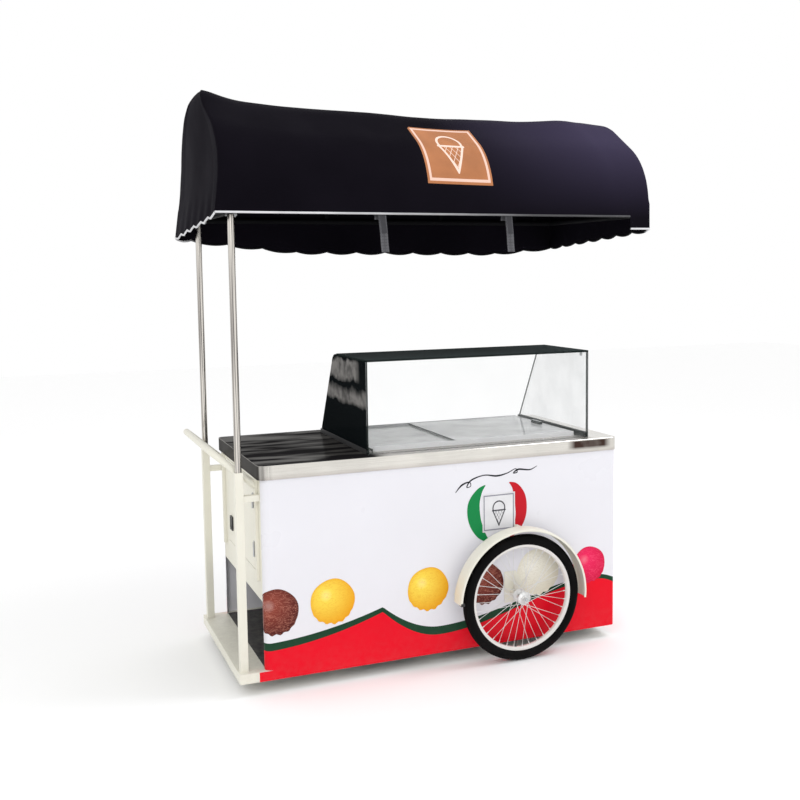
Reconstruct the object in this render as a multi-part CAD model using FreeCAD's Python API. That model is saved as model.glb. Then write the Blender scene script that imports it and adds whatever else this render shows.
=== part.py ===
import FreeCAD, Part
import math
import os

V = FreeCAD.Vector

# Ice cream push cart, in millimetres. +Z is up, +X runs from the pushing end to the wheel end,
# -Y is the customer side. The origin lies on the floor under the middle of the whole cart.

# Overall driving sizes
BASE_LENGTH = 1724.0
BODY_WIDTH = 800.0
COUNTER_HEIGHT = 925.0
WHEEL_DIAMETER = 551.0
HANDLE_REACH = 84.0
CANOPY_REACH = 142.0

# Base frame: a ring of inward-facing channel with a plain ledge at the pushing end
GROUND_CLEARANCE = 55.0
BASE_HEIGHT = 40.0
BASE_SHEET = 3.0
BASE_FLANGE = 40.0
LEDGE_LENGTH = 105.0
CASTER_STRIP_WIDTH = 110.0

# Body shell
PANEL_SHEET = 2.0
CORNER_RADIUS = 30.0
END_CORNER_RADIUS = 12.0
SKIN_START = 78.0
OPEN_BAY_TOP = 370.0
BULKHEAD_DISTANCE = 420.0
FRAME_TUBE = 25.0
FLOOR_GAP = 2.0
UPRIGHT_MIDDLE = 1010.0

# End door in the left end wall, with its hinges and latch
DOOR_SIDE = 138.0
DOOR_BOTTOM = 475.0
DOOR_TOP = 846.0
DOOR_GAP = 2.5
DOOR_DEPTH = 18.0
DOOR_SHEET = 1.5
JAMB_DEPTH = 24.0
HINGE_PIN_RADIUS = 2.5
HINGE_KNUCKLE_RADIUS = 5.0
HINGE_LENGTH = 60.0
HINGE_LEAF = 2.0
HINGE_LEAF_WIDTH = 26.0
LATCH_INSET = 77.0
LATCH_Z = 568.0
LATCH_WIDTH = 44.0
LATCH_HEIGHT = 62.0
LATCH_DEPTH = 7.0
PADDLE_DEPTH = 4.0

# Countertop and freezer well
COUNTER_BAND = 57.0
COUNTER_SHEET = 2.0
COUNTER_OVERHANG_END = 13.0
COUNTER_OVERHANG_FAR = 9.0
COUNTER_OVERHANG_SIDE = 4.0
COUNTER_CORNER = 26.0
WELL_X = 1092.0
WELL_LENGTH = 966.0
WELL_SIDE = 120.0
WELL_DEPTH = 330.0
WELL_SHEET = 1.5
WELL_RIM = 12.0
WELL_GAP = 1.0
FOAM_WALL = 45.0
FOAM_TOP_DROP = 20.0

# Pans and the rack that carries them
PAN_COLUMNS = 3
PAN_ROWS = 2
PAN_DEPTH = 120.0
PAN_DROP = 26.0
PAN_SHEET = 1.2
PAN_TAPER = 8.5
PAN_CORNER = 14.0
RACK_BAR = 16.0
RACK_BAR_HEIGHT = 14.0
RACK_LEDGE = 12.0

# Sliding lids and their two-step rails
LID_OVERLAP = 194.0
LID_SHEET = 5.0
RAIL_STEP = 5.0
RAIL_BACK_WIDTH = 3.0
LID_SIDE_GAP = 0.4
RAIL_LOW = 5.0
RAIL_HIGH = 13.0
RAIL_BACK = 20.0
LID_PULL_LENGTH = 90.0
LOW_PULL_HEIGHT = 2.4
HIGH_PULL_HEIGHT = 14.0
PULL_FROM_END = 28.0
LID_PULL_WIDTH = 12.0
SOFT_GAP = 0.3

# Glass case
GLASS = 8.0
GLASS_PAST_WELL = 43.5
GLASS_FRONT_SIDE = 56.0
GLASS_HEIGHT = 392.0
GLASS_BACK_SIDE = 73.0
GLASS_BACK_TOP = 120.0
GLASS_ROOF_BACK = 62.0
GLASS_NOSE = 42.0
SILL_HEIGHT = 20.0
CLIP_SIZE = 20.0

# Posts, handle and the upright bars on the end wall
POST_SIDE = 32.0
POST_WALL = 2.0
POST_X = 25.0
POST_SIDE_INSET = 47.0
POST_TOP = 900.0
STUB_SIDE = 25.0
STUB_Z = 792.0
TUBE_GAP = 0.5
TUBE_SEAT = 150.0
HANDLE_TUBE = 28.0
HANDLE_GAP = 0.5
HANDLE_FOOT = 30.0
HANDLE_BAR_Z = 980.0
HANDLE_END_Z = 838.0
HANDLE_BEND = 60.0
BAR_WIDTH = 25.0
BAR_DEPTH = 12.0
BAR_BOTTOM = 448.0

# Canopy frame and cover
RAIL_Z = 1915.0
RAIL_RADIUS = 12.0
RAIL_INSET = 20.0
RAIL_LEFT_INSET = 34.0
RAIL_CORNER = 60.0
CANOPY_PAST_BODY = 45.0
CANOPY_LEFT = 62.0
CLOTH = 2.5
SHOULDER_RISE = 50.0
SHOULDER_RADIUS = 300.0
ROOF_SLOPE = 33.0
RIDGE_RADIUS = 300.0
HOOP_SIDE = 16.0
HOOP_PLACES = (60.0, 700.0, 1290.0, 1700.0, 1815.0)
NEAR_HEM_DROP = 10.0
LEFT_HEM_DROPS = (12.0, 76.0)
RIGHT_HEM_DROPS = (64.0, 122.0)
FAR_HEM = ((-10.0, 76.0), (70.0, 88.0), (560.0, 140.0), (1600.0, 150.0), (1938.0, 122.0))
FAR_SCALLOPS = (1, 3, 7, 2)
END_SCALLOPS = 6
CORNER_FLAP = 98.0
CLOTH_DROP = 170.0
CROWN_LIFTS = ((0.0, 66.0), (150.0, 30.0), (650.0, 6.0), (1300.0, -4.0), (1722.0, 13.0), (1928.0, -4.0))
LEFT_END_LEAN = ((0.0, -75.0), (12.0, 10.0), (26.0, 115.0), (32.0, 225.0), (27.0, 330.0), (18.0, 420.0),
                 (24.0, 475.0), (48.0, 508.0), (90.0, 540.0))
LEFT_TOP_FROM = 40.0
SCALLOP_DEPTH = 12.0
STRAP_WIDTH = 33.0
STRAP_THICKNESS = 2.0
STRAP_LENGTH = 160.0
STRAP_LEAN = 20.0
STRAP_PLACES = (604.0, 1166.0)

# Large wheels
WHEEL_X = 1210.0
WHEEL_OFFSET = 76.0
TYRE_WIDTH = 48.0
RIM_RADIUS = 231.0
RIM_DEPTH = 13.0
RIM_WIDTH = 27.0
WHEEL_STEPS = 60
SPOKES = 36
SPOKE_RADIUS = 1.3
SPOKE_CROSS = 60.0
HUB_RADIUS = 15.0
HUB_LENGTH = 72.0
FLANGE_RADIUS = 29.0
FLANGE_SPACING = 46.0
FLANGE_THICKNESS = 3.0
AXLE_RADIUS = 8.0
RUNNING_GAP = 0.05
FACE_GAP = 0.3
AXLE_NUT = 13.0
AXLE_NUT_LENGTH = 10.0

# Axle supports and fenders
BOSS_RADIUS = 20.0
SUPPORT_PLATE = 4.0
FENDER_RADIUS = 305.0
FENDER_SHEET = 2.0
FENDER_WIDTH = 70.0
FENDER_LIP = 12.0
FENDER_FROM = -6.0
FENDER_TO = 178.0
FENDER_STEPS = 24
STAY_WIDTH = 16.0
STAY_ANGLES = (172.0, 88.0, 4.0)

# Casters under the pushing end
CASTER_X = 250.0
CASTER_INSET = 150.0
CASTER_WHEEL = 75.0
CASTER_WHEEL_WIDTH = 22.0
CASTER_TRAIL = 28.0
CASTER_PLATE = (95.0, 67.0, 3.0)
RACE_RADIUS = 24.0
RACE_HEIGHT = 3.0
KING_PIN = 5.0
YOKE_TOP = 4.0
YOKE_LEG = 3.0
CASTER_AXLE = 4.0
BOLT_HEAD = 7.0
BOLT_SPREAD = (75.0, 47.0)

# Cooling unit
MACHINE_X = 560.0
COMPRESSOR_RADIUS = 62.0
COMPRESSOR_HEIGHT = 165.0
CONDENSER_SIZE = (60.0, 260.0, 210.0)
CONDENSER_FINS = 12
CONDENSER_Y = 130.0
FAN_RADIUS = 88.0
FAN_BLADES = 5
FAN_SHAFT = 4.0
FAN_PITCH = 28.0
FAN_MOTOR_RADIUS = 26.0
FAN_MOTOR_LENGTH = 22.0
FAN_REACH = 60.0
FAN_HUB_RADIUS = 20.0
FAN_HUB_LENGTH = 26.0
SHROUD_SHEET = 3.0

# Worked-out places
BASE_X0 = -(BASE_LENGTH + CANOPY_REACH - HANDLE_REACH) / 2.0
BASE_X1 = BASE_X0 + BASE_LENGTH
BASE_TOP = GROUND_CLEARANCE + BASE_HEIGHT
HALF = BODY_WIDTH / 2.0
INNER_HALF = HALF - PANEL_SHEET
END_X = BASE_X0 + LEDGE_LENGTH
BULKHEAD_X = BASE_X0 + BULKHEAD_DISTANCE
COUNTER_UNDER = COUNTER_HEIGHT - COUNTER_SHEET
BAND_BOTTOM = COUNTER_HEIGHT - COUNTER_BAND
WHEEL_RADIUS = WHEEL_DIAMETER / 2.0
WHEEL_AT = V(BASE_X0 + WHEEL_X, -(HALF + WHEEL_OFFSET), WHEEL_RADIUS)
CANOPY_X0 = BASE_X0 - CANOPY_LEFT
CANOPY_X1 = BASE_X1 + CANOPY_REACH
WELL_X0 = BASE_X0 + WELL_X - WELL_LENGTH / 2.0
WELL_X1 = WELL_X0 + WELL_LENGTH
WELL_WIDTH = BODY_WIDTH - 2.0 * WELL_SIDE
GLASS_X0 = WELL_X0 - GLASS_PAST_WELL
GLASS_X1 = WELL_X1 + GLASS_PAST_WELL
GLASS_FRONT_Y = HALF - GLASS_FRONT_SIDE
GLASS_BACK_BOTTOM = HALF - GLASS_BACK_SIDE
GLASS_TOP = COUNTER_HEIGHT + GLASS_HEIGHT
CASTER_AT = BASE_X0 + CASTER_X
CASTER_Y = HALF - CASTER_INSET
DOOR_WIDTH = BODY_WIDTH - 2.0 * DOOR_SIDE
LATCH_Y = DOOR_WIDTH / 2.0 - LATCH_INSET
LID_LENGTH = (WELL_LENGTH + LID_OVERLAP) / 2.0
POST_Y = HALF - POST_SIDE_INSET
HANDLE_Y = POST_Y - POST_SIDE / 2.0 - HANDLE_TUBE / 2.0 - HANDLE_GAP
CANOPY_HALF_WIDTH = HALF + CANOPY_PAST_BODY


def box(x0, x1, y0, y1, z0, z1):
    return Part.makeBox(x1 - x0, y1 - y0, z1 - z0, V(x0, y0, z0))


def rod(radius, start, end):
    return Part.makeCylinder(radius, (end - start).Length, start, end - start)


def fuse(shapes):
    return shapes[0].multiFuse(shapes[1:]).removeSplitter()


def cut_all(shape, tools):
    return shape.cut(Part.makeCompound(tools))


def mirrored(shape):
    return shape.mirror(V(0, 0, 0), V(0, 1, 0))


def pair(shape):
    """The shape of the near side together with its mirror image of the far side."""
    return Part.makeCompound([shape, mirrored(shape)])


def prism(points, along):
    wire = Part.makePolygon(points + [points[0]])
    return Part.Face(wire).extrude(along)


def prism_rod(radius, start, end, sides=6, turn=0.0):
    """A straight rod with flat sides, for wires, nuts and long tubes."""
    along = end - start
    tilt = FreeCAD.Rotation(V(0, 0, 1), along)
    ring = []
    for i in range(sides):
        angle = math.radians(turn) + 2.0 * math.pi * i / sides
        flat = V(radius * math.cos(angle), radius * math.sin(angle), 0)
        ring.append(start + tilt.multVec(flat))
    return prism(ring, along)


def lathe(points, centre, steps):
    """Closed ring about the Y axis through centre, from an outline of (radius, y) pairs."""
    rings = []
    for i in range(steps):
        a = 2.0 * math.pi * i / steps
        rings.append([centre + V(r * math.cos(a), y, r * math.sin(a)) for r, y in points])
    return skin(rings, True)


def arc(centre, radius, first, last, u=V(1, 0, 0), v=V(0, 1, 0)):
    """An arc from one angle to another, in the plane of u and v."""
    def at(degrees):
        a = math.radians(degrees)
        return centre + u * (radius * math.cos(a)) + v * (radius * math.sin(a))
    return Part.Arc(at(first), at((first + last) / 2.0), at(last)).toShape()


def line(a, b):
    return Part.LineSegment(a, b).toShape()


def rounded_plate(x0, x1, y0, y1, z0, z1, radius):
    plate = box(x0, x1, y0, y1, z0, z1)
    edges = [e for e in plate.Edges if abs(e.tangentAt(e.FirstParameter).z) > 0.9]
    return plate.makeFillet(radius, edges)


def skin(rings, closed=False):
    """Solid whose sides are flat strips between rings of equal corner count."""
    faces = []
    pairs = list(zip(rings, rings[1:]))
    if closed:
        pairs.append((rings[-1], rings[0]))
    else:
        faces = [Part.Face(Part.makePolygon(ring + [ring[0]])) for ring in (rings[0], rings[-1])]
    for a, b in pairs:
        for k in range(len(a)):
            n = (k + 1) % len(a)
            faces.append(Part.Face(Part.makePolygon([a[k], a[n], b[n], b[k], a[k]])))
    solid = Part.makeSolid(Part.makeShell(faces))
    if solid.Volume < 0:
        solid.reverse()
    return solid


def bent_tube(points, bend, radius, up, sides=12, steps=4):
    """A tube along straight runs with rounded corners; up is square to all runs."""
    path = [points[0]]
    for before, corner, after in zip(points, points[1:], points[2:]):
        back = (before - corner).normalize()
        on = (after - corner).normalize()
        half_turn = (math.pi - back.getAngle(on)) / 2.0
        first = corner + back * (bend * math.tan(half_turn))
        centre = corner + (back + on).normalize() * (bend / math.cos(half_turn))
        arm = first - centre
        for i in range(steps + 1):
            a = 2.0 * half_turn * i / steps
            path.append(centre + arm * math.cos(a) - back * (bend * math.sin(a)))
    path.append(points[-1])
    closed = (path[0] - path[-1]).Length < 0.01
    if closed:
        path = path[:-1]
    rings = []
    for i, here in enumerate(path):
        before = path[i - 1] if closed or i else here * 2.0 - path[1]
        after = path[(i + 1) % len(path)] if closed or i < len(path) - 1 else here * 2.0 - before
        on = (after - here).normalize()
        ahead = ((here - before).normalize() + on).normalize()
        out = ahead.cross(up).normalize() * (radius / abs(ahead.dot(on)))
        turns = [2.0 * math.pi * (k + 0.5) / sides for k in range(sides)]
        rings.append([here + out * math.cos(a) + up * (radius * math.sin(a)) for a in turns])
    return skin(rings, closed)


def base_frame():
    y = INNER_HALF
    x1 = BASE_X1 - PANEL_SHEET
    ring = box(BASE_X0, x1, -y, y, GROUND_CLEARANCE, BASE_TOP)
    corners = [e for e in ring.Edges
               if abs(e.tangentAt(e.FirstParameter).z) > 0.9 and e.BoundBox.XMin > x1 - 1.0]
    ring = ring.makeFillet(END_CORNER_RADIUS - PANEL_SHEET, corners)
    window = box(BASE_X0 + BASE_FLANGE, x1 - BASE_FLANGE, -y + BASE_FLANGE, y - BASE_FLANGE,
                 GROUND_CLEARANCE - 1, BASE_TOP + 1)
    hollow = box(BASE_X0 + BASE_SHEET, x1 - BASE_SHEET, -y + BASE_SHEET, y - BASE_SHEET,
                 GROUND_CLEARANCE + BASE_SHEET, BASE_TOP - BASE_SHEET)
    edges = [e for e in hollow.Edges
             if abs(e.tangentAt(e.FirstParameter).z) > 0.9 and e.BoundBox.XMin > x1 - 10.0]
    hollow = hollow.makeFillet(END_CORNER_RADIUS - PANEL_SHEET - BASE_SHEET, edges)
    ring = ring.cut(window).cut(hollow)
    under = BASE_TOP - BASE_SHEET
    ledge = box(BASE_X0 + BASE_SHEET, END_X + BASE_FLANGE, -y + BASE_SHEET, y - BASE_SHEET, under, BASE_TOP)
    half_strip = CASTER_STRIP_WIDTH / 2.0
    strips = [ledge]
    for x in (CASTER_AT, BASE_X0 + BULKHEAD_DISTANCE, BASE_X0 + MACHINE_X + 300, WHEEL_AT.x):
        strips.append(box(x - half_strip, x + half_strip, -y + BASE_SHEET, y - BASE_SHEET, under, BASE_TOP))
    return fuse([ring] + strips)


def bay_floor():
    """Dark sheet on the base frame, from the open bay to the machine strips."""
    x0 = END_X + PANEL_SHEET + FLOOR_GAP
    x1 = WHEEL_AT.x - CASTER_STRIP_WIDTH
    y = INNER_HALF - FRAME_TUBE - FLOOR_GAP
    return box(x0, x1, -y, y, BASE_TOP, BASE_TOP + PANEL_SHEET)


def side_outline(z, sheet):
    """Closed plan outline of a side panel that wraps round both ends of the body."""
    r, q = CORNER_RADIUS, END_CORNER_RADIUS
    x0, x1, y = END_X, BASE_X1, -HALF
    left = V(x0 + r, y + r, z)
    right = V(x1 - q, y + q, z)
    edges = [
        arc(left, r, 180, 270),
        line(V(x0 + r, y, z), V(x1 - q, y, z)),
        arc(right, q, 270, 360),
        line(V(x1, y + q, z), V(x1 - sheet, y + q, z)),
        arc(right, q - sheet, 360, 270),
        line(V(x1 - q, y + sheet, z), V(x0 + r, y + sheet, z)),
        arc(left, r - sheet, 270, 180),
        line(V(x0 + sheet, y + r, z), V(x0, y + r, z)),
    ]
    return Part.Face(Part.Wire(edges))


def side_panel():
    """Near side panel with the skirt strip that covers the base frame."""
    r = CORNER_RADIUS
    wrap = side_outline(BASE_TOP, PANEL_SHEET).extrude(V(0, 0, COUNTER_UNDER - BASE_TOP))
    low = side_outline(GROUND_CLEARANCE, PANEL_SHEET).extrude(V(0, 0, BASE_HEIGHT))
    low = low.cut(box(END_X - 1, END_X + r, -HALF - 1, 0, GROUND_CLEARANCE - 1, BASE_TOP))
    strip = box(BASE_X0 + SKIN_START, END_X + r, -HALF, -INNER_HALF, GROUND_CLEARANCE, BASE_TOP)
    boss_hole = prism_rod(BOSS_RADIUS + 1, V(WHEEL_AT.x, -HALF - 1, WHEEL_AT.z),
                          V(WHEEL_AT.x, -HALF + 9, WHEEL_AT.z), 8, 22.5)
    return fuse([wrap, low, strip]).cut(boss_hole)


def far_panel():
    """Far side panel: the same sheet with two rows of louvre slots by the cooling unit."""
    panel = mirrored(side_panel())
    slots = []
    for row in range(7):
        z = BASE_TOP + 60 + row * 22.0
        for column in range(2):
            x = BASE_X0 + MACHINE_X - 40 + column * 165.0
            slots.append(box(x, x + 140, HALF - 5, HALF + 5, z, z + 8))
    return cut_all(panel, slots)


def right_end_panel():
    y = HALF - END_CORNER_RADIUS
    return box(BASE_X1 - PANEL_SHEET, BASE_X1, -y, y, GROUND_CLEARANCE, COUNTER_UNDER)


def left_end_wall():
    """Sheet above the open bay, with the door opening, its jamb and a folded lower edge."""
    y = HALF - CORNER_RADIUS
    x1 = END_X + PANEL_SHEET
    sheet = box(END_X, x1, -y, y, OPEN_BAY_TOP, COUNTER_UNDER)
    fold = box(END_X, END_X + JAMB_DEPTH, -y, y, OPEN_BAY_TOP, OPEN_BAY_TOP + PANEL_SHEET)
    half = DOOR_WIDTH / 2.0
    wall = DOOR_GAP + PANEL_SHEET
    jamb = box(END_X, END_X + JAMB_DEPTH, -half - wall, half + wall, DOOR_BOTTOM - wall, DOOR_TOP + wall)
    opening = box(END_X - 1, END_X + JAMB_DEPTH + 1, -half - DOOR_GAP, half + DOOR_GAP,
                  DOOR_BOTTOM - DOOR_GAP, DOOR_TOP + DOOR_GAP)
    return fuse([sheet, fold, jamb]).cut(opening)


def hinge_heights():
    low = DOOR_BOTTOM + 55.0
    high = DOOR_TOP - 55.0 - HINGE_LENGTH
    return (low, high)


def hinge_axis():
    return END_X - HINGE_KNUCKLE_RADIUS - 0.5, -DOOR_WIDTH / 2.0 - DOOR_GAP / 2.0


def end_door():
    """Folded door pan, with a lip all round and the slot behind the latch."""
    half = DOOR_WIDTH / 2.0
    outer = box(END_X, END_X + DOOR_DEPTH, -half, half, DOOR_BOTTOM, DOOR_TOP)
    inner = box(END_X + DOOR_SHEET, END_X + DOOR_DEPTH + 1, -half + DOOR_SHEET, half - DOOR_SHEET,
                DOOR_BOTTOM + DOOR_SHEET, DOOR_TOP - DOOR_SHEET)
    return outer.cut(inner)


def hinge_barrel(low, high):
    x, y = hinge_axis()
    return prism_rod(HINGE_KNUCKLE_RADIUS, V(x, y, low), V(x, y, high), 8, 22.5)


def hinge_leaf(side, low, high):
    """Flat leaf of a hinge and the tongue that joins it to its barrel."""
    y = hinge_axis()[1]
    leaf = box(END_X - HINGE_LEAF, END_X, *sorted((y, y + side * HINGE_LEAF_WIDTH)), low, high)
    return leaf


def wall_hinges():
    """Lower halves of the lift-off hinges, with their pins."""
    x, y = hinge_axis()
    made = []
    for z in hinge_heights():
        middle = z + HINGE_LENGTH / 2.0
        half = fuse([hinge_barrel(z, middle - FACE_GAP), hinge_leaf(-1, z, middle - FACE_GAP)])
        made.append(fuse([half, rod(HINGE_PIN_RADIUS, V(x, y, z), V(x, y, z + HINGE_LENGTH - 2))]))
    return Part.makeCompound(made)


def door_hinges():
    """Upper halves of the hinges, which turn on the pins."""
    x, y = hinge_axis()
    made = []
    for z in hinge_heights():
        middle, top = z + HINGE_LENGTH / 2.0, z + HINGE_LENGTH
        half = fuse([hinge_barrel(middle, top), hinge_leaf(1, middle, top)])
        made.append(half.cut(rod(HINGE_PIN_RADIUS + RUNNING_GAP, V(x, y, middle - 1), V(x, y, top - 1.5))))
    return Part.makeCompound(made)


def latch_frame():
    """Black frame of the flush latch, with the pocket in which the paddle hangs."""
    x0 = END_X - LATCH_DEPTH
    y0, y1 = LATCH_Y - LATCH_WIDTH / 2.0, LATCH_Y + LATCH_WIDTH / 2.0
    z0, z1 = LATCH_Z - LATCH_HEIGHT / 2.0, LATCH_Z + LATCH_HEIGHT / 2.0
    frame = box(x0, END_X, y0, y1, z0, z1)
    pocket = box(x0 - 1, END_X - 1.0, y0 + 6, y1 - 6, z0 + 8, z1 - 8)
    pin = rod(1.2, V(x0 + 3.0, y0 + 5, z1 - 12), V(x0 + 3.0, y1 - 5, z1 - 12))
    return fuse([frame.cut(pocket), pin])


def latch_paddle():
    x0 = END_X - LATCH_DEPTH
    y0, y1 = LATCH_Y - LATCH_WIDTH / 2.0 + 6.4, LATCH_Y + LATCH_WIDTH / 2.0 - 6.4
    z0, z1 = LATCH_Z - LATCH_HEIGHT / 2.0 + 8.6, LATCH_Z + LATCH_HEIGHT / 2.0 - 12.0
    plate = box(x0 + 1.0, x0 + 1.0 + PADDLE_DEPTH, y0, y1, z0, z1)
    barrel = rod(2.4, V(x0 + 3.0, y0, z1), V(x0 + 3.0, y1, z1))
    grip = box(x0 - 1.5, x0 + 1.5, y0, y1, z0, z0 + 8)
    bore = rod(1.2 + RUNNING_GAP, V(x0 + 3.0, y0 - 1, z1), V(x0 + 3.0, y1 + 1, z1))
    return fuse([plate, barrel, grip]).cut(bore)


def storage_bay():
    """Bulkhead behind the open bay, with the shelf welded to it that is the floor behind the door."""
    x0 = END_X + PANEL_SHEET + 2.0
    y = INNER_HALF - FRAME_TUBE
    z = OPEN_BAY_TOP + PANEL_SHEET
    wall = box(BULKHEAD_X, BULKHEAD_X + PANEL_SHEET, -y, y, BASE_TOP + PANEL_SHEET, COUNTER_UNDER)
    shelf = box(x0, BULKHEAD_X, -y, y, z, z + PANEL_SHEET)
    return fuse([wall, shelf])


def inner_frame():
    """Square-tube uprights and rails inside the shell, with two cross rails under the well."""
    t = FRAME_TUBE
    outer = INNER_HALF
    inner = outer - t
    low = COUNTER_HEIGHT - WELL_DEPTH - FOAM_WALL - t
    places = (BULKHEAD_X + PANEL_SHEET, BASE_X0 + UPRIGHT_MIDDLE, BASE_X1 - CORNER_RADIUS - t - 5)
    pieces = []
    for side in (-1, 1):
        y0, y1 = sorted((side * inner, side * outer))
        for x in places:
            pieces.append(box(x, x + t, y0, y1, BASE_TOP, COUNTER_UNDER))
        pieces.append(box(places[0], places[2] + t, y0, y1, low, low + t))
    for x in (WELL_X0 + 60, WELL_X1 - 60 - t):
        pieces.append(box(x, x + t, -inner, inner, low, low + t))
    frame = fuse(pieces)
    wall = 2.0
    voids = []
    for side in (-1, 1):
        y0, y1 = sorted((side * (inner + wall), side * (outer - wall)))
        for x in places:
            voids.append(box(x + wall, x + t - wall, y0, y1, BASE_TOP - 1, low - wall))
            voids.append(box(x + wall, x + t - wall, y0, y1, low + t + wall, COUNTER_UNDER + 1))
    return cut_all(frame, voids)


def countertop():
    """Folded stainless top: rounded corners, turned-down band and the well cut-out."""
    x0, x1 = END_X - COUNTER_OVERHANG_END, BASE_X1 + COUNTER_OVERHANG_FAR
    y = HALF + COUNTER_OVERHANG_SIDE
    t = COUNTER_SHEET
    outer = rounded_plate(x0, x1, -y, y, BAND_BOTTOM, COUNTER_HEIGHT, COUNTER_CORNER)
    inner = rounded_plate(x0 + t, x1 - t, -y + t, y - t, BAND_BOTTOM - 1, COUNTER_UNDER, COUNTER_CORNER - t)
    edges = [e for e in outer.Edges if e.BoundBox.ZMin > COUNTER_HEIGHT - 0.1]
    outer = outer.makeChamfer(1.2, edges)
    gap = WELL_GAP + WELL_SHEET
    half = WELL_WIDTH / 2.0 + gap
    cut_out = box(WELL_X0 - gap, WELL_X1 + gap, -half, half, COUNTER_UNDER - 1, COUNTER_HEIGHT + 1)
    return outer.cut(inner).cut(cut_out)


def well_liner():
    """Stainless tub that hangs in the cut-out by its rim, with a ledge for the pan rack."""
    half = WELL_WIDTH / 2.0
    t = WELL_SHEET
    bottom = COUNTER_HEIGHT - WELL_DEPTH
    shell = box(WELL_X0 - t, WELL_X1 + t, -half - t, half + t, bottom - t, COUNTER_HEIGHT)
    rim = rounded_plate(WELL_X0 - WELL_RIM, WELL_X1 + WELL_RIM, -half - WELL_RIM, half + WELL_RIM,
                        COUNTER_HEIGHT, COUNTER_HEIGHT + t, 20.0)
    room = box(WELL_X0, WELL_X1, -half, half, bottom, COUNTER_HEIGHT + t + 1)
    return fuse([shell, rim]).cut(room)


def rack_top():
    return COUNTER_HEIGHT - PAN_DROP


def pan_rack():
    """Welded rack of flat bars on which the pan lips rest."""
    half = WELL_WIDTH / 2.0 - 0.5
    x0, x1 = WELL_X0 + 0.5, WELL_X1 - 0.5
    top = rack_top()
    outer = box(x0, x1, -half, half, top - RACK_BAR_HEIGHT, top)
    windows = []
    for column in range(PAN_COLUMNS):
        for row in range(PAN_ROWS):
            a, b, c, d = pan_window(column, row)
            windows.append(box(a, b, c, d, top - RACK_BAR_HEIGHT - 1, top + 1))
    return cut_all(outer, windows)


def pan_window(column, row):
    """The opening of the rack for one pan: x0, x1, y0, y1."""
    half = WELL_WIDTH / 2.0 - 0.5
    x0, x1 = WELL_X0 + 0.5, WELL_X1 - 0.5
    width = (x1 - x0 - 2 * RACK_LEDGE - (PAN_COLUMNS - 1) * RACK_BAR) / PAN_COLUMNS
    depth = (2 * half - 2 * RACK_LEDGE - (PAN_ROWS - 1) * RACK_BAR) / PAN_ROWS
    a = x0 + RACK_LEDGE + column * (width + RACK_BAR)
    c = -half + RACK_LEDGE + row * (depth + RACK_BAR)
    return a, a + width, c, c + depth


def one_pan(column, row):
    """A tapered pan with cut corners and a flat lip."""
    a, b, c, d = pan_window(column, row)
    top = rack_top()
    floor = top - PAN_DEPTH
    t = PAN_SHEET

    def ring(inset, z):
        x0, x1, y0, y1 = a + inset, b - inset, c + inset, d - inset
        q = PAN_CORNER
        return [V(x0 + q, y0, z), V(x1 - q, y0, z), V(x1, y0 + q, z), V(x1, y1 - q, z),
                V(x1 - q, y1, z), V(x0 + q, y1, z), V(x0, y1 - q, z), V(x0, y0 + q, z)]

    reach = 0.5 - RACK_BAR / 2.0
    body = [ring(PAN_TAPER, floor), ring(0.5, top), ring(reach, top), ring(reach, top + t)]
    room = [ring(0.5 + t, top + t), ring(PAN_TAPER + t, floor + t)]
    return skin(body + room)


def pans():
    return Part.makeCompound([one_pan(c, r) for c in range(PAN_COLUMNS) for r in range(PAN_ROWS)])


def well_foam():
    """Foam block round the liner, on the cross rails of the inner frame."""
    gap = WELL_SHEET
    half = WELL_WIDTH / 2.0
    bottom = COUNTER_HEIGHT - WELL_DEPTH
    outer = box(WELL_X0 - FOAM_WALL, WELL_X1 + FOAM_WALL, -half - FOAM_WALL, half + FOAM_WALL,
                bottom - FOAM_WALL, COUNTER_HEIGHT - FOAM_TOP_DROP)
    room = box(WELL_X0 - gap, WELL_X1 + gap, -half - gap, half + gap, bottom - gap, COUNTER_HEIGHT)
    return outer.cut(room)


def rail_profile(x, side):
    """Stepped section of a lid rail in the plane of Y and Z; side -1 is the near rail."""
    y_out = WELL_WIDTH / 2.0 + WELL_RIM - RAIL_STEP
    y_mid = y_out - RAIL_STEP
    y_in = y_mid - RAIL_STEP
    y_end = y_out + RAIL_BACK_WIDTH
    base = COUNTER_HEIGHT + WELL_SHEET
    back, high, low = base + RAIL_BACK, base + RAIL_HIGH, base + RAIL_LOW
    pts = [(y_in, base), (y_end, base), (y_end, back), (y_out, back), (y_out, high), (y_mid, high),
           (y_mid, low), (y_in, low)]
    return [V(x, side * a, b) for a, b in pts]


def lid_rails():
    rails = []
    for side in (-1, 1):
        rails.append(prism(rail_profile(WELL_X0, side), V(WELL_LENGTH, 0, 0)))
    return Part.makeCompound(rails)


def lid(x0, low):
    """Clear lid resting on one step of the rails, with a finger pull at its free end."""
    steps = 2 if low else 1
    reach = WELL_WIDTH / 2.0 + WELL_RIM - steps * RAIL_STEP - LID_SIDE_GAP
    z = COUNTER_HEIGHT + WELL_SHEET + (RAIL_LOW if low else RAIL_HIGH) + SOFT_GAP
    top = z + LID_SHEET
    sheet = box(x0, x0 + LID_LENGTH, -reach, reach, z, top)
    pull_x = x0 + PULL_FROM_END if low else x0 + LID_LENGTH - PULL_FROM_END - LID_PULL_WIDTH
    height = LOW_PULL_HEIGHT if low else HIGH_PULL_HEIGHT
    half = LID_PULL_LENGTH / 2.0
    return fuse([sheet, box(pull_x, pull_x + LID_PULL_WIDTH, -half, half, top, top + height)])


def lid_left():
    return lid(WELL_X0, True)


def lid_right():
    return lid(WELL_X1 - LID_LENGTH, False)


def glass_front():
    y = -GLASS_FRONT_Y
    return box(GLASS_X0, GLASS_X1, y, y + GLASS, COUNTER_HEIGHT, GLASS_TOP - GLASS)


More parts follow.
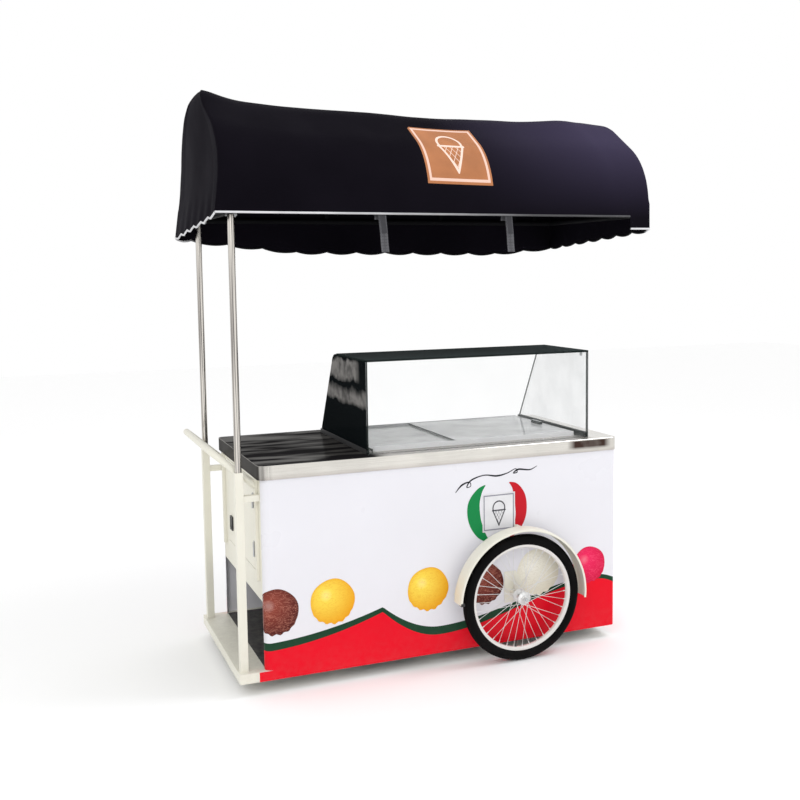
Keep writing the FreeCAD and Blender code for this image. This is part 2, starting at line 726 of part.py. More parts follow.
def glass_roof():
    return box(GLASS_X0, GLASS_X1, -GLASS_FRONT_Y, GLASS_ROOF_BACK, GLASS_TOP - GLASS, GLASS_TOP)


def glass_side(x):
    """End pane with a raked back edge and a rounded top corner."""
    y0 = -GLASS_FRONT_Y + GLASS
    z0 = COUNTER_HEIGHT
    z1 = GLASS_TOP - GLASS
    z_top = GLASS_TOP - GLASS / 2.0
    low_back = V(x, GLASS_BACK_BOTTOM, z0)
    # The back edge runs up to a rounded nose beside the roof pane
    knee = V(x, GLASS_BACK_TOP + 14.0, z_top - GLASS_NOSE)
    nose = V(x, GLASS_ROOF_BACK + 1.0 + GLASS_NOSE * 0.35, z_top)
    bulge = V(x, GLASS_BACK_TOP - 6.0, z_top - GLASS_NOSE * 0.3)
    edges = [
        line(V(x, y0, z0), low_back),
        line(low_back, knee),
        Part.Arc(knee, bulge, nose).toShape(),
        line(nose, V(x, GLASS_ROOF_BACK + 0.5, z_top)),
        line(V(x, GLASS_ROOF_BACK + 0.5, z_top), V(x, GLASS_ROOF_BACK + 0.5, z1)),
        line(V(x, GLASS_ROOF_BACK + 0.5, z1), V(x, y0, z1)),
        line(V(x, y0, z1), V(x, y0, z0)),
    ]
    return Part.Face(Part.Wire(edges)).extrude(V(GLASS, 0, 0))


def glass_ends():
    return Part.makeCompound([glass_side(GLASS_X0), glass_side(GLASS_X1 - GLASS)])


def glass_sills():
    """Black channels at the foot of the end panes, one leg on each side of the glass."""
    sills = []
    y0 = -GLASS_FRONT_Y + GLASS
    for x, out in ((GLASS_X0, -1), (GLASS_X1, 1)):
        inner = x + GLASS if out < 0 else x - GLASS
        for face, way in ((x, out), (inner, -out)):
            x0, x1 = sorted((face, face + way * 3.0))
            top = COUNTER_HEIGHT + SILL_HEIGHT
            sills.append(box(x0, x1, y0, GLASS_BACK_BOTTOM - 3.0, COUNTER_HEIGHT, top))
    return Part.makeCompound(sills)


def glass_clips():
    """Small angle clips that hold the roof and the end panes together, and the feet of the front pane."""
    clips = []
    t = 2.0
    s = CLIP_SIZE
    under = GLASS_TOP - GLASS
    for x, way in ((GLASS_X0 + GLASS, 1), (GLASS_X1 - GLASS, -1)):
        for y in (-GLASS_FRONT_Y + 40.0, GLASS_ROOF_BACK - 50.0):
            x_a, x_b = sorted((x, x + way * t))
            x_c, x_d = sorted((x, x + way * s))
            leg = box(x_a, x_b, y, y + s, under - s, under)
            clips.append(fuse([leg, box(x_c, x_d, y, y + s, under - t, under)]))
    return Part.makeCompound(clips)


def post():
    """Square ivory post on the ledge with its stub to the end wall; near side."""
    x = BASE_X0 + POST_X
    s = POST_SIDE / 2.0
    b = s - POST_WALL
    body = box(x - s, x + s, -POST_Y - s, -POST_Y + s, BASE_TOP, POST_TOP)
    bore = box(x - b, x + b, -POST_Y - b, -POST_Y + b, BASE_TOP + 3.0, POST_TOP + 1)
    h = STUB_SIDE / 2.0
    stub = box(x + s, END_X, -POST_Y - h, -POST_Y + h, STUB_Z - h, STUB_Z + h)
    hollow = box(x + s + 2, END_X + 1, -POST_Y - h + 2, -POST_Y + h - 2, STUB_Z - h + 2, STUB_Z + h - 2)
    seat = box(x - b, x + b, -POST_Y - b, -POST_Y + b, POST_TOP - TUBE_SEAT - 4.0, POST_TOP - TUBE_SEAT)
    return fuse([body.cut(bore), stub.cut(hollow), seat])


def post_tube():
    """Round stainless tube in the near post, up to the header of the canopy."""
    x = BASE_X0 + POST_X
    radius = POST_SIDE / 2.0 - POST_WALL - TUBE_GAP
    foot = V(x, -POST_Y, POST_TOP - TUBE_SEAT)
    head = V(x, -POST_Y, RAIL_Z)
    return rod(radius, foot, head - V(0, 0, RAIL_RADIUS * math.cos(math.radians(15.0))))


def push_handle():
    """U-shaped handle: two rising arms beside the posts and a cross bar."""
    y = HANDLE_Y
    x0 = BASE_X0 - HANDLE_REACH + HANDLE_TUBE / 2.0
    x1 = END_X - BAR_DEPTH
    run = x1 + HANDLE_FOOT - x0
    rise = (HANDLE_BAR_Z - HANDLE_END_Z) / (x1 - x0)
    foot_z = HANDLE_BAR_Z - rise * run
    foot_x = x1 + HANDLE_FOOT
    pts = [V(foot_x, -y, foot_z), V(x0, -y, HANDLE_BAR_Z), V(x0, y, HANDLE_BAR_Z), V(foot_x, y, foot_z)]
    up = (pts[0] - pts[1]).cross(V(0, 1, 0)).normalize()
    tube = bent_tube(pts, HANDLE_BEND, HANDLE_TUBE / 2.0, up, 14, 6)
    return tube.cut(box(x1, x1 + 100, -HALF, HALF, 0, HANDLE_BAR_Z + 100))


def handle_bars():
    """Upright bars on the end wall that carry the arms of the handle."""
    y = HANDLE_Y
    half = BAR_WIDTH / 2.0
    bars = []
    for side in (-1, 1):
        low, high = sorted((side * (y - half), side * (y + half)))
        bar = box(END_X - BAR_DEPTH, END_X, low, high, BAR_BOTTOM, BAND_BOTTOM - 1.0)
        hollow = box(END_X - BAR_DEPTH + 2, END_X - 2, low + 2, high - 2, BAR_BOTTOM - 1, BAND_BOTTOM - 3)
        bars.append(bar.cut(hollow))
    return Part.makeCompound(bars)


def canopy_ring():
    """Lower tube ring of the canopy with the header over the posts."""
    x0 = CANOPY_X0 + RAIL_LEFT_INSET
    x1 = CANOPY_X1 - RAIL_INSET
    y = CANOPY_HALF_WIDTH - RAIL_INSET
    mid = (x0 + x1) / 2.0
    pts = [V(mid, -y, RAIL_Z), V(x1, -y, RAIL_Z), V(x1, y, RAIL_Z), V(x0, y, RAIL_Z), V(x0, -y, RAIL_Z),
           V(mid, -y, RAIL_Z)]
    ring = bent_tube(pts, RAIL_CORNER, RAIL_RADIUS, V(0, 0, 1))
    x = BASE_X0 + POST_X
    header = prism_rod(RAIL_RADIUS, V(x, -y, RAIL_Z), V(x, y, RAIL_Z), 12, 15.0)
    return fuse([ring, header])


def crown_lift(x):
    """How far the cover stands above its usual height at a place along the canopy."""
    d = x - CANOPY_X0
    for (a, u), (b, w) in zip(CROWN_LIFTS, CROWN_LIFTS[1:]):
        if d <= b:
            return u + (w - u) * max(0.0, d - a) / (b - a)
    return CROWN_LIFTS[-1][1]


def arch_edges(x, inset, foot):
    """The arch of the canopy at one place: wall, shoulder arc, slope, ridge arc, and back down."""
    y = CANOPY_HALF_WIDTH
    z = RAIL_Z + SHOULDER_RISE + crown_lift(x)
    r1 = SHOULDER_RADIUS
    r2 = RIDGE_RADIUS
    slope = math.radians(ROOF_SLOPE)
    turn = 90.0 - ROOF_SLOPE
    u, v = V(0, 1, 0), V(0, 0, 1)
    shoulder_y = y - r1 + r1 * math.cos(math.radians(turn))
    shoulder_z = z + r1 * math.sin(math.radians(turn))
    ridge_z = shoulder_z + (shoulder_y - r2 * math.sin(slope)) * math.tan(slope)
    s1, s2 = r1 - inset, r2 - inset
    right_centre = V(x, y - r1, z)
    left_centre = V(x, r1 - y, z)
    top_centre = V(x, 0, ridge_z - r2 * math.cos(slope))

    def at(centre, radius, degrees):
        a = math.radians(degrees)
        return centre + u * (radius * math.cos(a)) + v * (radius * math.sin(a))

    return [
        line(V(x, y - inset, foot), V(x, y - inset, z)),
        arc(right_centre, s1, 0, turn, u, v),
        line(at(right_centre, s1, turn), at(top_centre, s2, turn)),
        arc(top_centre, s2, turn, 180 - turn, u, v),
        line(at(top_centre, s2, 180 - turn), at(left_centre, s1, 180 - turn)),
        arc(left_centre, s1, 180 - turn, 180, u, v),
        line(V(x, inset - y, z), V(x, inset - y, foot)),
    ]


def arch_loft(inset, foot, x_from, x_to):
    """Solid under the arch between two places, closed flat at its foot."""
    inner = [CANOPY_X0 + d for d, _ in CROWN_LIFTS if x_from + 5 < CANOPY_X0 + d < x_to - 5]
    wires = []
    for x in [x_from] + inner + [x_to]:
        y = CANOPY_HALF_WIDTH - inset
        wires.append(Part.Wire(arch_edges(x, inset, foot) + [line(V(x, -y, foot), V(x, y, foot))]))
    return Part.makeLoft(wires, True, True)


def canopy_side(inset):
    """Block whose left side leans like the left end of the cover; inset moves its ends inwards."""
    y = CANOPY_HALF_WIDTH + 20.0
    outline = []
    for dx, dz in LEFT_END_LEAN:
        down = inset if dx > LEFT_TOP_FROM else 0.0
        outline.append(V(CANOPY_X0 + dx + inset, -y, RAIL_Z + dz - down))
    outline[0].z -= 200.0
    top = RAIL_Z + LEFT_END_LEAN[-1][1]
    x1 = CANOPY_X1 - inset
    outline += [V(x1, -y, top), V(x1, -y, outline[0].z)]
    return prism(outline, V(0, 2 * y, 0))


def scalloped(a, b, count):
    """Edges of a scalloped hem from one point to another, hanging down in arcs."""
    step = (b - a) * (1.0 / count)
    edges = []
    for i in range(count):
        first = a + step * i
        last = a + step * (i + 1)
        middle = (first + last) * 0.5 - V(0, 0, SCALLOP_DEPTH)
        edges.append(Part.Arc(first, middle, last).toShape())
    return edges


def below(edges, along):
    """Block below a hem line, used to trim the cloth."""
    a = edges[0].Vertexes[0].Point
    b = edges[-1].Vertexes[-1].Point
    low = RAIL_Z - 2 * CLOTH_DROP
    down_a, down_b = V(a.x, a.y, low), V(b.x, b.y, low)
    wire = Part.Wire(edges + [line(b, down_b), line(down_b, down_a), line(down_a, a)])
    return Part.Face(wire).extrude(along)


def canopy_cover():
    """Cloth cover: an arched skin with two closed ends, trimmed to its scalloped hems."""
    foot = RAIL_Z - CLOTH_DROP
    outer = arch_loft(0.0, foot, CANOPY_X0, CANOPY_X1).common(canopy_side(0.0))
    room = arch_loft(CLOTH, foot - 1.0, CANOPY_X0, CANOPY_X1).common(canopy_side(CLOTH))
    y = CANOPY_HALF_WIDTH
    x0, x1 = CANOPY_X0 - 10.0, CANOPY_X1 + 10.0
    hem = RAIL_Z - NEAR_HEM_DROP
    flap = RAIL_Z - RIGHT_HEM_DROPS[0]
    near_line = [line(V(x0, -y - 5, hem), V(x1 - CORNER_FLAP, -y - 5, hem)),
                 line(V(x1 - CORNER_FLAP, -y - 5, hem), V(x1 - CORNER_FLAP, -y - 5, flap)),
                 line(V(x1 - CORNER_FLAP, -y - 5, flap), V(x1, -y - 5, flap))]
    far_points = [V(CANOPY_X0 + d, y - 40, RAIL_Z - drop) for d, drop in FAR_HEM]
    far_line = []
    for a, b, count in zip(far_points, far_points[1:], FAR_SCALLOPS):
        far_line += scalloped(a, b, count)
    left = [V(x0, -y - 5, RAIL_Z - LEFT_HEM_DROPS[0]), V(x0, y + 5, RAIL_Z - LEFT_HEM_DROPS[1])]
    right = [V(CANOPY_X1 - 40, -y - 5, flap), V(CANOPY_X1 - 40, y + 5, RAIL_Z - RIGHT_HEM_DROPS[1])]
    left_line = scalloped(left[0], left[1], END_SCALLOPS)
    right_line = scalloped(right[0], right[1], END_SCALLOPS + 1)
    trims = [below(near_line, V(0, 45, 0)), below(far_line, V(0, 45, 0)), below(left_line, V(50, 0, 0)),
             below(right_line, V(50, 0, 0))]
    return cut_all(outer.cut(room), trims)


def canopy_hoops():
    """Bars of square tube, bent to the arch in short straights, that carry the cover on the side rails."""
    hoops = []
    foot = RAIL_Z + RAIL_RADIUS * math.cos(math.radians(15.0))
    for d in HOOP_PLACES:
        x = CANOPY_X0 + d
        lower_side = min(x, x + HOOP_SIDE, key=crown_lift)
        lines = []
        for inset in (CLOTH + SOFT_GAP, CLOTH + SOFT_GAP + HOOP_SIDE):
            points = []
            for edge, count in zip(arch_edges(lower_side, inset, foot), (1, 4, 1, 4, 1, 4, 1)):
                places = edge.discretize(count + 1)
                if points and (places[0] - points[-1]).Length > (places[-1] - points[-1]).Length:
                    places.reverse()
                points += places if not points else places[1:]
            lines.append(points)
        hoop = prism(lines[0] + lines[1][::-1], V(HOOP_SIDE, 0, 0))
        hoop.translate(V(x - lower_side, 0, 0))
        hoops.append(hoop)
    return Part.makeCompound(hoops)


def straps():
    """Two webbing straps looped round the near rail, with hanging tails that lean a little."""
    y = -(CANOPY_HALF_WIDTH - RAIL_INSET)
    made = []
    for d in STRAP_PLACES:
        x0 = BASE_X0 + d - STRAP_WIDTH / 2.0
        inner = RAIL_RADIUS + SOFT_GAP
        outer = inner + STRAP_THICKNESS
        ends = V(x0, y, RAIL_Z), V(x0 + STRAP_WIDTH, y, RAIL_Z)
        loop = prism_rod(outer, *ends, 12, 15.0).cut(prism_rod(inner, *ends, 12, 15.0))
        top = [V(x0, y - outer, RAIL_Z), V(x0 + STRAP_WIDTH, y - outer, RAIL_Z),
               V(x0 + STRAP_WIDTH + STRAP_LEAN, y - outer, RAIL_Z - STRAP_LENGTH),
               V(x0 + STRAP_LEAN, y - outer, RAIL_Z - STRAP_LENGTH)]
        made.append(fuse([loop, prism(top, V(0, STRAP_THICKNESS, 0))]))
    return Part.makeCompound(made)


def rail_clamps():
    """Split clamp blocks with a bolt, round the header beside each post."""
    x = BASE_X0 + POST_X
    made = []
    for side in (-1, 1):
        y0, y1 = sorted((side * (POST_Y - 22), side * (POST_Y - 40)))
        reach = RAIL_RADIUS + 3.5
        block = box(x - reach, x + reach + 14, y0, y1, RAIL_Z - reach, RAIL_Z + reach)
        bore = prism_rod(RAIL_RADIUS, V(x, y0, RAIL_Z), V(x, y1, RAIL_Z), 12, 15.0)
        slot = box(x + RAIL_RADIUS - 1, x + reach + 15, y0, y1, RAIL_Z - 1.5, RAIL_Z + 1.5)
        at = V(x + RAIL_RADIUS + 10, (y0 + y1) / 2.0, RAIL_Z)
        bolt = prism_rod(5.0, at - V(0, 0, reach + 4), at + V(0, 0, reach + 4))
        made.append(fuse([block.cut(bore).cut(slot), bolt]))
    return Part.makeCompound(made)


def tyre():
    """Round-sectioned tyre on the seat of the rim."""
    half = TYRE_WIDTH / 2.0
    centre = WHEEL_RADIUS - half
    first = math.degrees(math.acos((RIM_RADIUS - centre) / half))
    steps = 7
    points = []
    for i in range(steps + 1):
        a = math.radians(-first + 2 * first * i / steps)
        points.append((centre + half * math.cos(a), half * math.sin(a)))
    return lathe(points, WHEEL_AT, WHEEL_STEPS)


def rim():
    """Rim whose sides run in towards the spokes."""
    w = RIM_WIDTH / 2.0
    r0 = RIM_RADIUS - RIM_DEPTH
    return lathe([(r0, -8), (r0, 8), (RIM_RADIUS, w), (RIM_RADIUS, -w)], WHEEL_AT, WHEEL_STEPS)


def hub():
    """Hub with a flange near each end, bored for the axle."""
    half = V(0, HUB_LENGTH / 2.0, 0)
    f = FLANGE_SPACING / 2.0
    t = FLANGE_THICKNESS / 2.0
    barrel = prism_rod(HUB_RADIUS, WHEEL_AT - half, WHEEL_AT + half, 12)
    flanges = [prism_rod(FLANGE_RADIUS, WHEEL_AT + V(0, s * f - t, 0), WHEEL_AT + V(0, s * f + t, 0), 18)
               for s in (-1, 1)]
    bore = rod(AXLE_RADIUS + RUNNING_GAP, WHEEL_AT - half * 1.1, WHEEL_AT + half * 1.1)
    return fuse([barrel] + flanges).cut(bore)


def hub_and_spokes():
    """Hub with laced spokes: on each flange, leading and trailing spokes that cross."""
    made = [hub()]
    hub_circle = FLANGE_RADIUS - 4.0
    rim_circle = RIM_RADIUS - RIM_DEPTH + 1.0
    step = 360.0 / SPOKES
    for i in range(SPOKES):
        side = -1 if i % 2 else 1
        lead = 1 if (i // 2) % 2 else -1
        rim_angle = math.radians(i * step)
        hub_angle = math.radians(i * step + lead * SPOKE_CROSS)
        face = side * FLANGE_SPACING / 2.0 + lead * (FLANGE_THICKNESS / 2.0 + SPOKE_RADIUS)
        a = WHEEL_AT + V(hub_circle * math.cos(hub_angle), face, hub_circle * math.sin(hub_angle))
        b = WHEEL_AT + V(rim_circle * math.cos(rim_angle), side * 2.0, rim_circle * math.sin(rim_angle))
        made.append(prism_rod(SPOKE_RADIUS, a, b, 4))
    return Part.makeCompound(made)


def axle():
    reach = HALF + WHEEL_OFFSET + HUB_LENGTH / 2.0 + FACE_GAP + AXLE_NUT_LENGTH + 4
    return rod(AXLE_RADIUS, V(WHEEL_AT.x, -reach, WHEEL_AT.z), V(WHEEL_AT.x, reach, WHEEL_AT.z))


def axle_nut():
    """Hexagon nut with a domed cap on the near end of the axle."""
    y0 = WHEEL_AT.y - HUB_LENGTH / 2.0 - FACE_GAP
    corners = []
    for i in range(6):
        a = math.pi * i / 3.0
        corners.append(V(WHEEL_AT.x + AXLE_NUT * math.cos(a), y0, WHEEL_AT.z + AXLE_NUT * math.sin(a)))
    nut = prism(corners, V(0, -AXLE_NUT_LENGTH, 0))
    nut = nut.cut(rod(AXLE_RADIUS + RUNNING_GAP, V(WHEEL_AT.x, y0 + 1, WHEEL_AT.z),
                      V(WHEEL_AT.x, y0 - AXLE_NUT_LENGTH - 1, WHEEL_AT.z)))
    return nut


def axle_nuts():
    return pair(axle_nut())


def axle_support():
    """Welded bracket of the near side: inner plate on the base frame, boss, outer plate and ribs."""
    x, z = WHEEL_AT.x, WHEEL_AT.z
    y_face = -HALF
    y_end = WHEEL_AT.y + HUB_LENGTH / 2.0 + FACE_GAP
    t = SUPPORT_PLATE
    inner = prism([V(x - 75, -INNER_HALF, BASE_TOP), V(x + 75, -INNER_HALF, BASE_TOP),
                   V(x + 45, -INNER_HALF, z + 50), V(x - 45, -INNER_HALF, z + 50)], V(0, t, 0))
    outer = prism([V(x - 46, y_face, z - 42), V(x + 46, y_face, z - 42), V(x + 46, y_face, z + 30),
                   V(x + 10, y_face, z + 96), V(x - 46, y_face, z + 96)], V(0, -t, 0))
    boss = prism_rod(BOSS_RADIUS, V(x, -INNER_HALF + t, z), V(x, y_end, z), 8, 22.5)
    rib = prism([V(x - 2.5, y_face - t, z + 92), V(x - 2.5, y_face - t, z), V(x - 2.5, y_end + 2, z + 10),
                 V(x - 2.5, y_end + 2, z + 22)], V(5, 0, 0))
    bore = rod(AXLE_RADIUS + RUNNING_GAP, V(x, 0, z), V(x, y_end - 5, z))
    return fuse([inner, boss, outer, rib]).cut(bore)


def axle_supports():
    return pair(axle_support())


def fender():
    """Rolled fender of channel section with three stays to the body; near side."""
    w = FENDER_WIDTH / 2.0
    r = FENDER_RADIUS
    t = FENDER_SHEET
    lip = r - FENDER_LIP
    h = STAY_WIDTH / 2.0
    inside = r - t
    section = [(r, -w), (r, w), (lip, w), (lip, w - t), (inside, w - t), (inside, t - w), (lip, t - w),
               (lip, -w)]
    rings = []
    for i in range(FENDER_STEPS + 1):
        a = math.radians(FENDER_FROM + (FENDER_TO - FENDER_FROM) * i / FENDER_STEPS)
        rings.append([WHEEL_AT + V(q * math.cos(a), y, q * math.sin(a)) for q, y in section])
    pieces = [skin(rings)]
    for degrees in STAY_ANGLES:
        a = math.radians(degrees)
        middle = r - FENDER_LIP / 2.0 - 1.0
        at = V(WHEEL_AT.x + middle * math.cos(a), 0, WHEEL_AT.z + middle * math.sin(a))
        end = WHEEL_AT.y + w - 1.0
        pieces.append(box(at.x - h, at.x + h, end, -HALF, at.z - 2.5, at.z + 2.5))
        pieces.append(box(at.x - h, at.x + h, -HALF - 3, -HALF, at.z - 12, at.z + 12))
    return fuse(pieces)


def caster_plates():
    """Top plates with raceway and king pin, under the base frame."""
    made = []
    top = BASE_TOP - BASE_SHEET
    length, width, thick = CASTER_PLATE
    yoke_face = top - thick - RACE_HEIGHT
    foot = yoke_face - FACE_GAP - YOKE_TOP - FACE_GAP
    x0, x1 = CASTER_AT - length / 2, CASTER_AT + length / 2
    for side in (-1, 1):
        y = side * CASTER_Y
        face = V(CASTER_AT, y, yoke_face)
        race_top = V(CASTER_AT, y, top - thick)
        under = V(CASTER_AT, y, foot)
        plate = box(x0, x1, y - width / 2, y + width / 2, top - thick, top)
        race = prism_rod(RACE_RADIUS, face, race_top, 12)
        pin = rod(KING_PIN, under, face)
        head = prism_rod(KING_PIN + 4, under - V(0, 0, 4), under)
        made.append(fuse([plate, race, pin, head]))
    return Part.makeCompound(made)


def bolt_places(side):
    dx, dy = BOLT_SPREAD[0] / 2.0, BOLT_SPREAD[1] / 2.0
    return [(CASTER_AT + i * dx, side * CASTER_Y + j * dy) for i in (-1, 1) for j in (-1, 1)]


def caster_bolts():
    """Bolt heads under the plates of both casters."""
    top = BASE_TOP - BASE_SHEET
    thick = CASTER_PLATE[2]
    made = []
    for side in (-1, 1):
        for x, y in bolt_places(side):
            made.append(prism_rod(BOLT_HEAD, V(x, y, top - thick - 5), V(x, y, top - thick)))
    return Part.makeCompound(made)


def caster_yoke(side):
    """Folded fork with its axle bolt, hung on the king pin."""
    y = side * CASTER_Y
    top = BASE_TOP - BASE_SHEET - CASTER_PLATE[2] - RACE_HEIGHT - FACE_GAP
    wheel_r = CASTER_WHEEL / 2.0
    gap = CASTER_WHEEL_WIDTH / 2.0 + 1.5
    reach = gap + YOKE_LEG
    ax = CASTER_AT - CASTER_TRAIL
    places = [(CASTER_AT + 24, top), (CASTER_AT - 24, top), (ax - 10, wheel_r), (ax - 6, wheel_r - 9),
              (ax + 6, wheel_r - 9), (CASTER_AT + 24, top - 8)]
    fork = prism([V(x, y - reach, z) for x, z in places], V(0, 2 * reach, 0))
    fork = fork.cut(box(ax - 20, CASTER_AT + 30, y - gap, y + gap, 0, top - YOKE_TOP))
    bore = rod(KING_PIN + RUNNING_GAP, V(CASTER_AT, y, top - YOKE_TOP - 1), V(CASTER_AT, y, top + 1))
    bolt = rod(CASTER_AXLE, V(ax, y - reach, wheel_r), V(ax, y + reach, wheel_r))
    heads = []
    for s in (-1, 1):
        heads.append(prism_rod(7, V(ax, y + s * reach, wheel_r), V(ax, y + s * (reach + 4), wheel_r)))
    return fuse([fork.cut(bore), bolt] + heads)


def caster_wheel(side):
    r = CASTER_WHEEL / 2.0
    at = V(CASTER_AT - CASTER_TRAIL, side * CASTER_Y, r)
    w = V(0, CASTER_WHEEL_WIDTH / 2.0, 0)
    bore = rod(CASTER_AXLE + RUNNING_GAP, at - w * 1.1, at + w * 1.1)
    return prism_rod(r, at - w, at + w, 36, 5.0).cut(bore)


def compressor():
    x = BASE_X0 + MACHINE_X + 40
    y = -150.0
    z = BASE_TOP + PANEL_SHEET
    r = COMPRESSOR_RADIUS
    h = COMPRESSOR_HEIGHT
    can = prism_rod(r, V(x, y, z + 12), V(x, y, z + h), 14)
    foot = box(x - r - 12, x + r + 12, y - 14, y + 14, z + 8, z + 14)
    pads = [box(x + s * (r + 2) - 8, x + s * (r + 2) + 8, y - 8, y + 8, z, z + 8) for s in (-1, 1)]
    terminal = box(x - 22, x + 22, y - r - 16, y - r + 8, z + 50, z + 100)
    return fuse([can, foot, terminal] + pads)


def condenser():
    """Finned block between two end plates, cut as a comb from its back."""
    depth, length, height = CONDENSER_SIZE
    x = BASE_X0 + MACHINE_X + 40 - length / 2.0
    z = BASE_TOP + PANEL_SHEET
    block = box(x, x + length, CONDENSER_Y, CONDENSER_Y + depth, z, z + height)
    pitch = length / CONDENSER_FINS
    y0, y1 = CONDENSER_Y + 12, CONDENSER_Y + depth + 1
    slots = []
    for i in range(CONDENSER_FINS - 1):
        left = x + pitch * (i + 0.5) + 3.0
        slots.append(box(left, left + pitch - 6.0, y0, y1, z + 8, z + height - 8))
    return cut_all(block, slots)


def fan_centre():
    return V(BASE_X0 + MACHINE_X + 40, CONDENSER_Y, BASE_TOP + PANEL_SHEET + CONDENSER_SIZE[2] / 2.0)


def fan_bracket():
    """Shroud plate on the condenser, with the motor and the shaft that carries the blades."""
    c = fan_centre()
    _, length, height = CONDENSER_SIZE
    y0 = c.y - SHROUD_SHEET
    plate = box(c.x - length / 2, c.x + length / 2, y0, c.y, c.z - height / 2, c.z + height / 2)
    motor = prism_rod(FAN_MOTOR_RADIUS, c, c - V(0, FAN_MOTOR_LENGTH, 0), 8)
    shaft = rod(FAN_SHAFT, c - V(0, FAN_MOTOR_LENGTH - 2, 0), c - V(0, FAN_REACH, 0))
    return fuse([plate, motor, shaft])


def fan_blades():
    """Hub with pitched blades."""
    c = fan_centre() - V(0, FAN_MOTOR_LENGTH + FACE_GAP, 0)
    end = c - V(0, FAN_HUB_LENGTH, 0)
    pieces = [prism_rod(FAN_HUB_RADIUS, c, end, 10)]
    for i in range(FAN_BLADES):
        blade = box(-22, 22, -1, 1, FAN_HUB_RADIUS - 5, FAN_RADIUS)
        blade.rotate(V(0, 0, 0), V(0, 0, 1), FAN_PITCH)
        blade.translate(V(0, -FAN_HUB_LENGTH / 2.0, 0))
        blade.rotate(V(0, 0, 0), V(0, 1, 0), 360.0 * i / FAN_BLADES)
        blade.translate(c)
        pieces.append(blade)
    bore = rod(FAN_SHAFT + RUNNING_GAP, c + V(0, 1, 0), end - V(0, 1, 0))
    return fuse(pieces).cut(bore)


def build():
    wheel = {"tyre": tyre(), "rim": rim(), "hub_and_spokes": hub_and_spokes()}
    nodes = {
        "base_frame": base_frame(),
        "bay_floor": bay_floor(),
        "near_side_panel": side_panel(),
        "far_side_panel": far_panel(),
        "right_end_panel": right_end_panel(),
        "left_end_wall": left_end_wall(),
        "wall_hinges": wall_hinges(),
        "end_door": end_door(),
        "door_hinges": door_hinges(),
        "latch_frame": latch_frame(),
        "latch_paddle": latch_paddle(),
        "storage_bay": storage_bay(),
        "inner_frame": inner_frame(),
        "countertop": countertop(),
        "well_liner": well_liner(),
        "well_foam": well_foam(),
        "pan_rack": pan_rack(),
        "pans": pans(),
        "lid_rails": lid_rails(),
        "lid_left": lid_left(),
        "lid_right": lid_right(),
        "glass_front": glass_front(),
        "glass_ends": glass_ends(),
        "glass_roof": glass_roof(),
        "glass_sills": glass_sills(),
        "glass_clips": glass_clips(),
        "posts": pair(post()),
        "post_tubes": pair(post_tube()),
        "push_handle": push_handle(),
        "handle_bars": handle_bars(),
        "canopy_ring": canopy_ring(),
        "canopy_hoops": canopy_hoops(),
        "canopy_cover": canopy_cover(),
        "canopy_straps": straps(),
        "rail_clamps": rail_clamps(),
        "axle": axle(),
        "axle_supports": axle_supports(),
        "axle_nuts": axle_nuts(),
        "fenders": pair(fender()),
        "caster_plates": caster_plates(),
        "caster_bolts": caster_bolts(),
        "compressor": compressor(),
        "condenser": condenser(),
        "fan_bracket": fan_bracket(),
        "fan_blades": fan_blades(),
    }
    for name, shape in wheel.items():
        nodes["near_" + name] = shape
        nodes["far_" + name] = mirrored(shape)
    for side, name in ((-1, "near"), (1, "far")):
        nodes[name + "_caster_yoke"] = caster_yoke(side)
        nodes[name + "_caster_wheel"] = caster_wheel(side)
    return nodes


os.makedirs("parts", exist_ok=True)
for node, shape in build().items():
    shape.exportStep("parts/" + node + ".step")
    print(node, len(shape.Solids), "solids, volume", round(shape.Volume), "valid", shape.isValid())
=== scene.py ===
# %% [markdown]
# # The ice cream push cart
# This lesson dresses the cart that the part's own solids describe. The solids are loaded
# first and stay where they are. What the eye needs beyond them, such as cloth, a tyre with a
# tread and printed sheet, is made here and tied to the body that carries it.

# %% Load the cart
import math

import bpy
from mathutils import Matrix, Vector, noise


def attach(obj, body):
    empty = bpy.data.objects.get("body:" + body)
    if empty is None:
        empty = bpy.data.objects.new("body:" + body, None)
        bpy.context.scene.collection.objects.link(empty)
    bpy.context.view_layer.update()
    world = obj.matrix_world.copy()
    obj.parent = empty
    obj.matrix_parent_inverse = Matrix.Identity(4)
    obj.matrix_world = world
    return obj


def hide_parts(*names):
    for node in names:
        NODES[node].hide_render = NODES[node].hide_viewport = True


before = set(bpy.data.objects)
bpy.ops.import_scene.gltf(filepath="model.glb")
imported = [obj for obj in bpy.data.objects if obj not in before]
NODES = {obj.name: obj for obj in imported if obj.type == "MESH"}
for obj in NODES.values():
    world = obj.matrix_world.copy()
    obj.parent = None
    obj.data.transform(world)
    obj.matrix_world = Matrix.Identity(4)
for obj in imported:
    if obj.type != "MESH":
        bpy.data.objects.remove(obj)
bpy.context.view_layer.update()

# %% [markdown]
# ## Measures that the pieces share
# Cloth, prints and tyres have to meet the solids exactly, so their measures are taken from
# the boxes of the solids wherever that is possible. The rest are the sizes of the real cart
# in metres, each written once.

# %% Measures
WHEEL_X = 0.319
WHEEL_Z = 0.2755
WHEEL_Y = 0.476
PANEL_Y = -0.400
PANEL_LEFT = -0.756
PANEL_BEND = 0.030
PANEL_RIGHT = 0.821
SKIRT_LEFT = -0.813
SKIRT_HIGH = 0.095
CLOTH_X0 = -0.953
CLOTH_X1 = 0.975
CLOTH_LENGTH = CLOTH_X1 - CLOTH_X0
CLOTH_HALF = 0.445
RAIL_Z = 1.915
HOOPS = [-0.885, -0.245, 0.345, 0.755, 0.870]
WHEELS = [(-1, "near"), (1, "far")]
print("wheel radius", WHEEL_Z, "cloth length", round(CLOTH_LENGTH, 3))

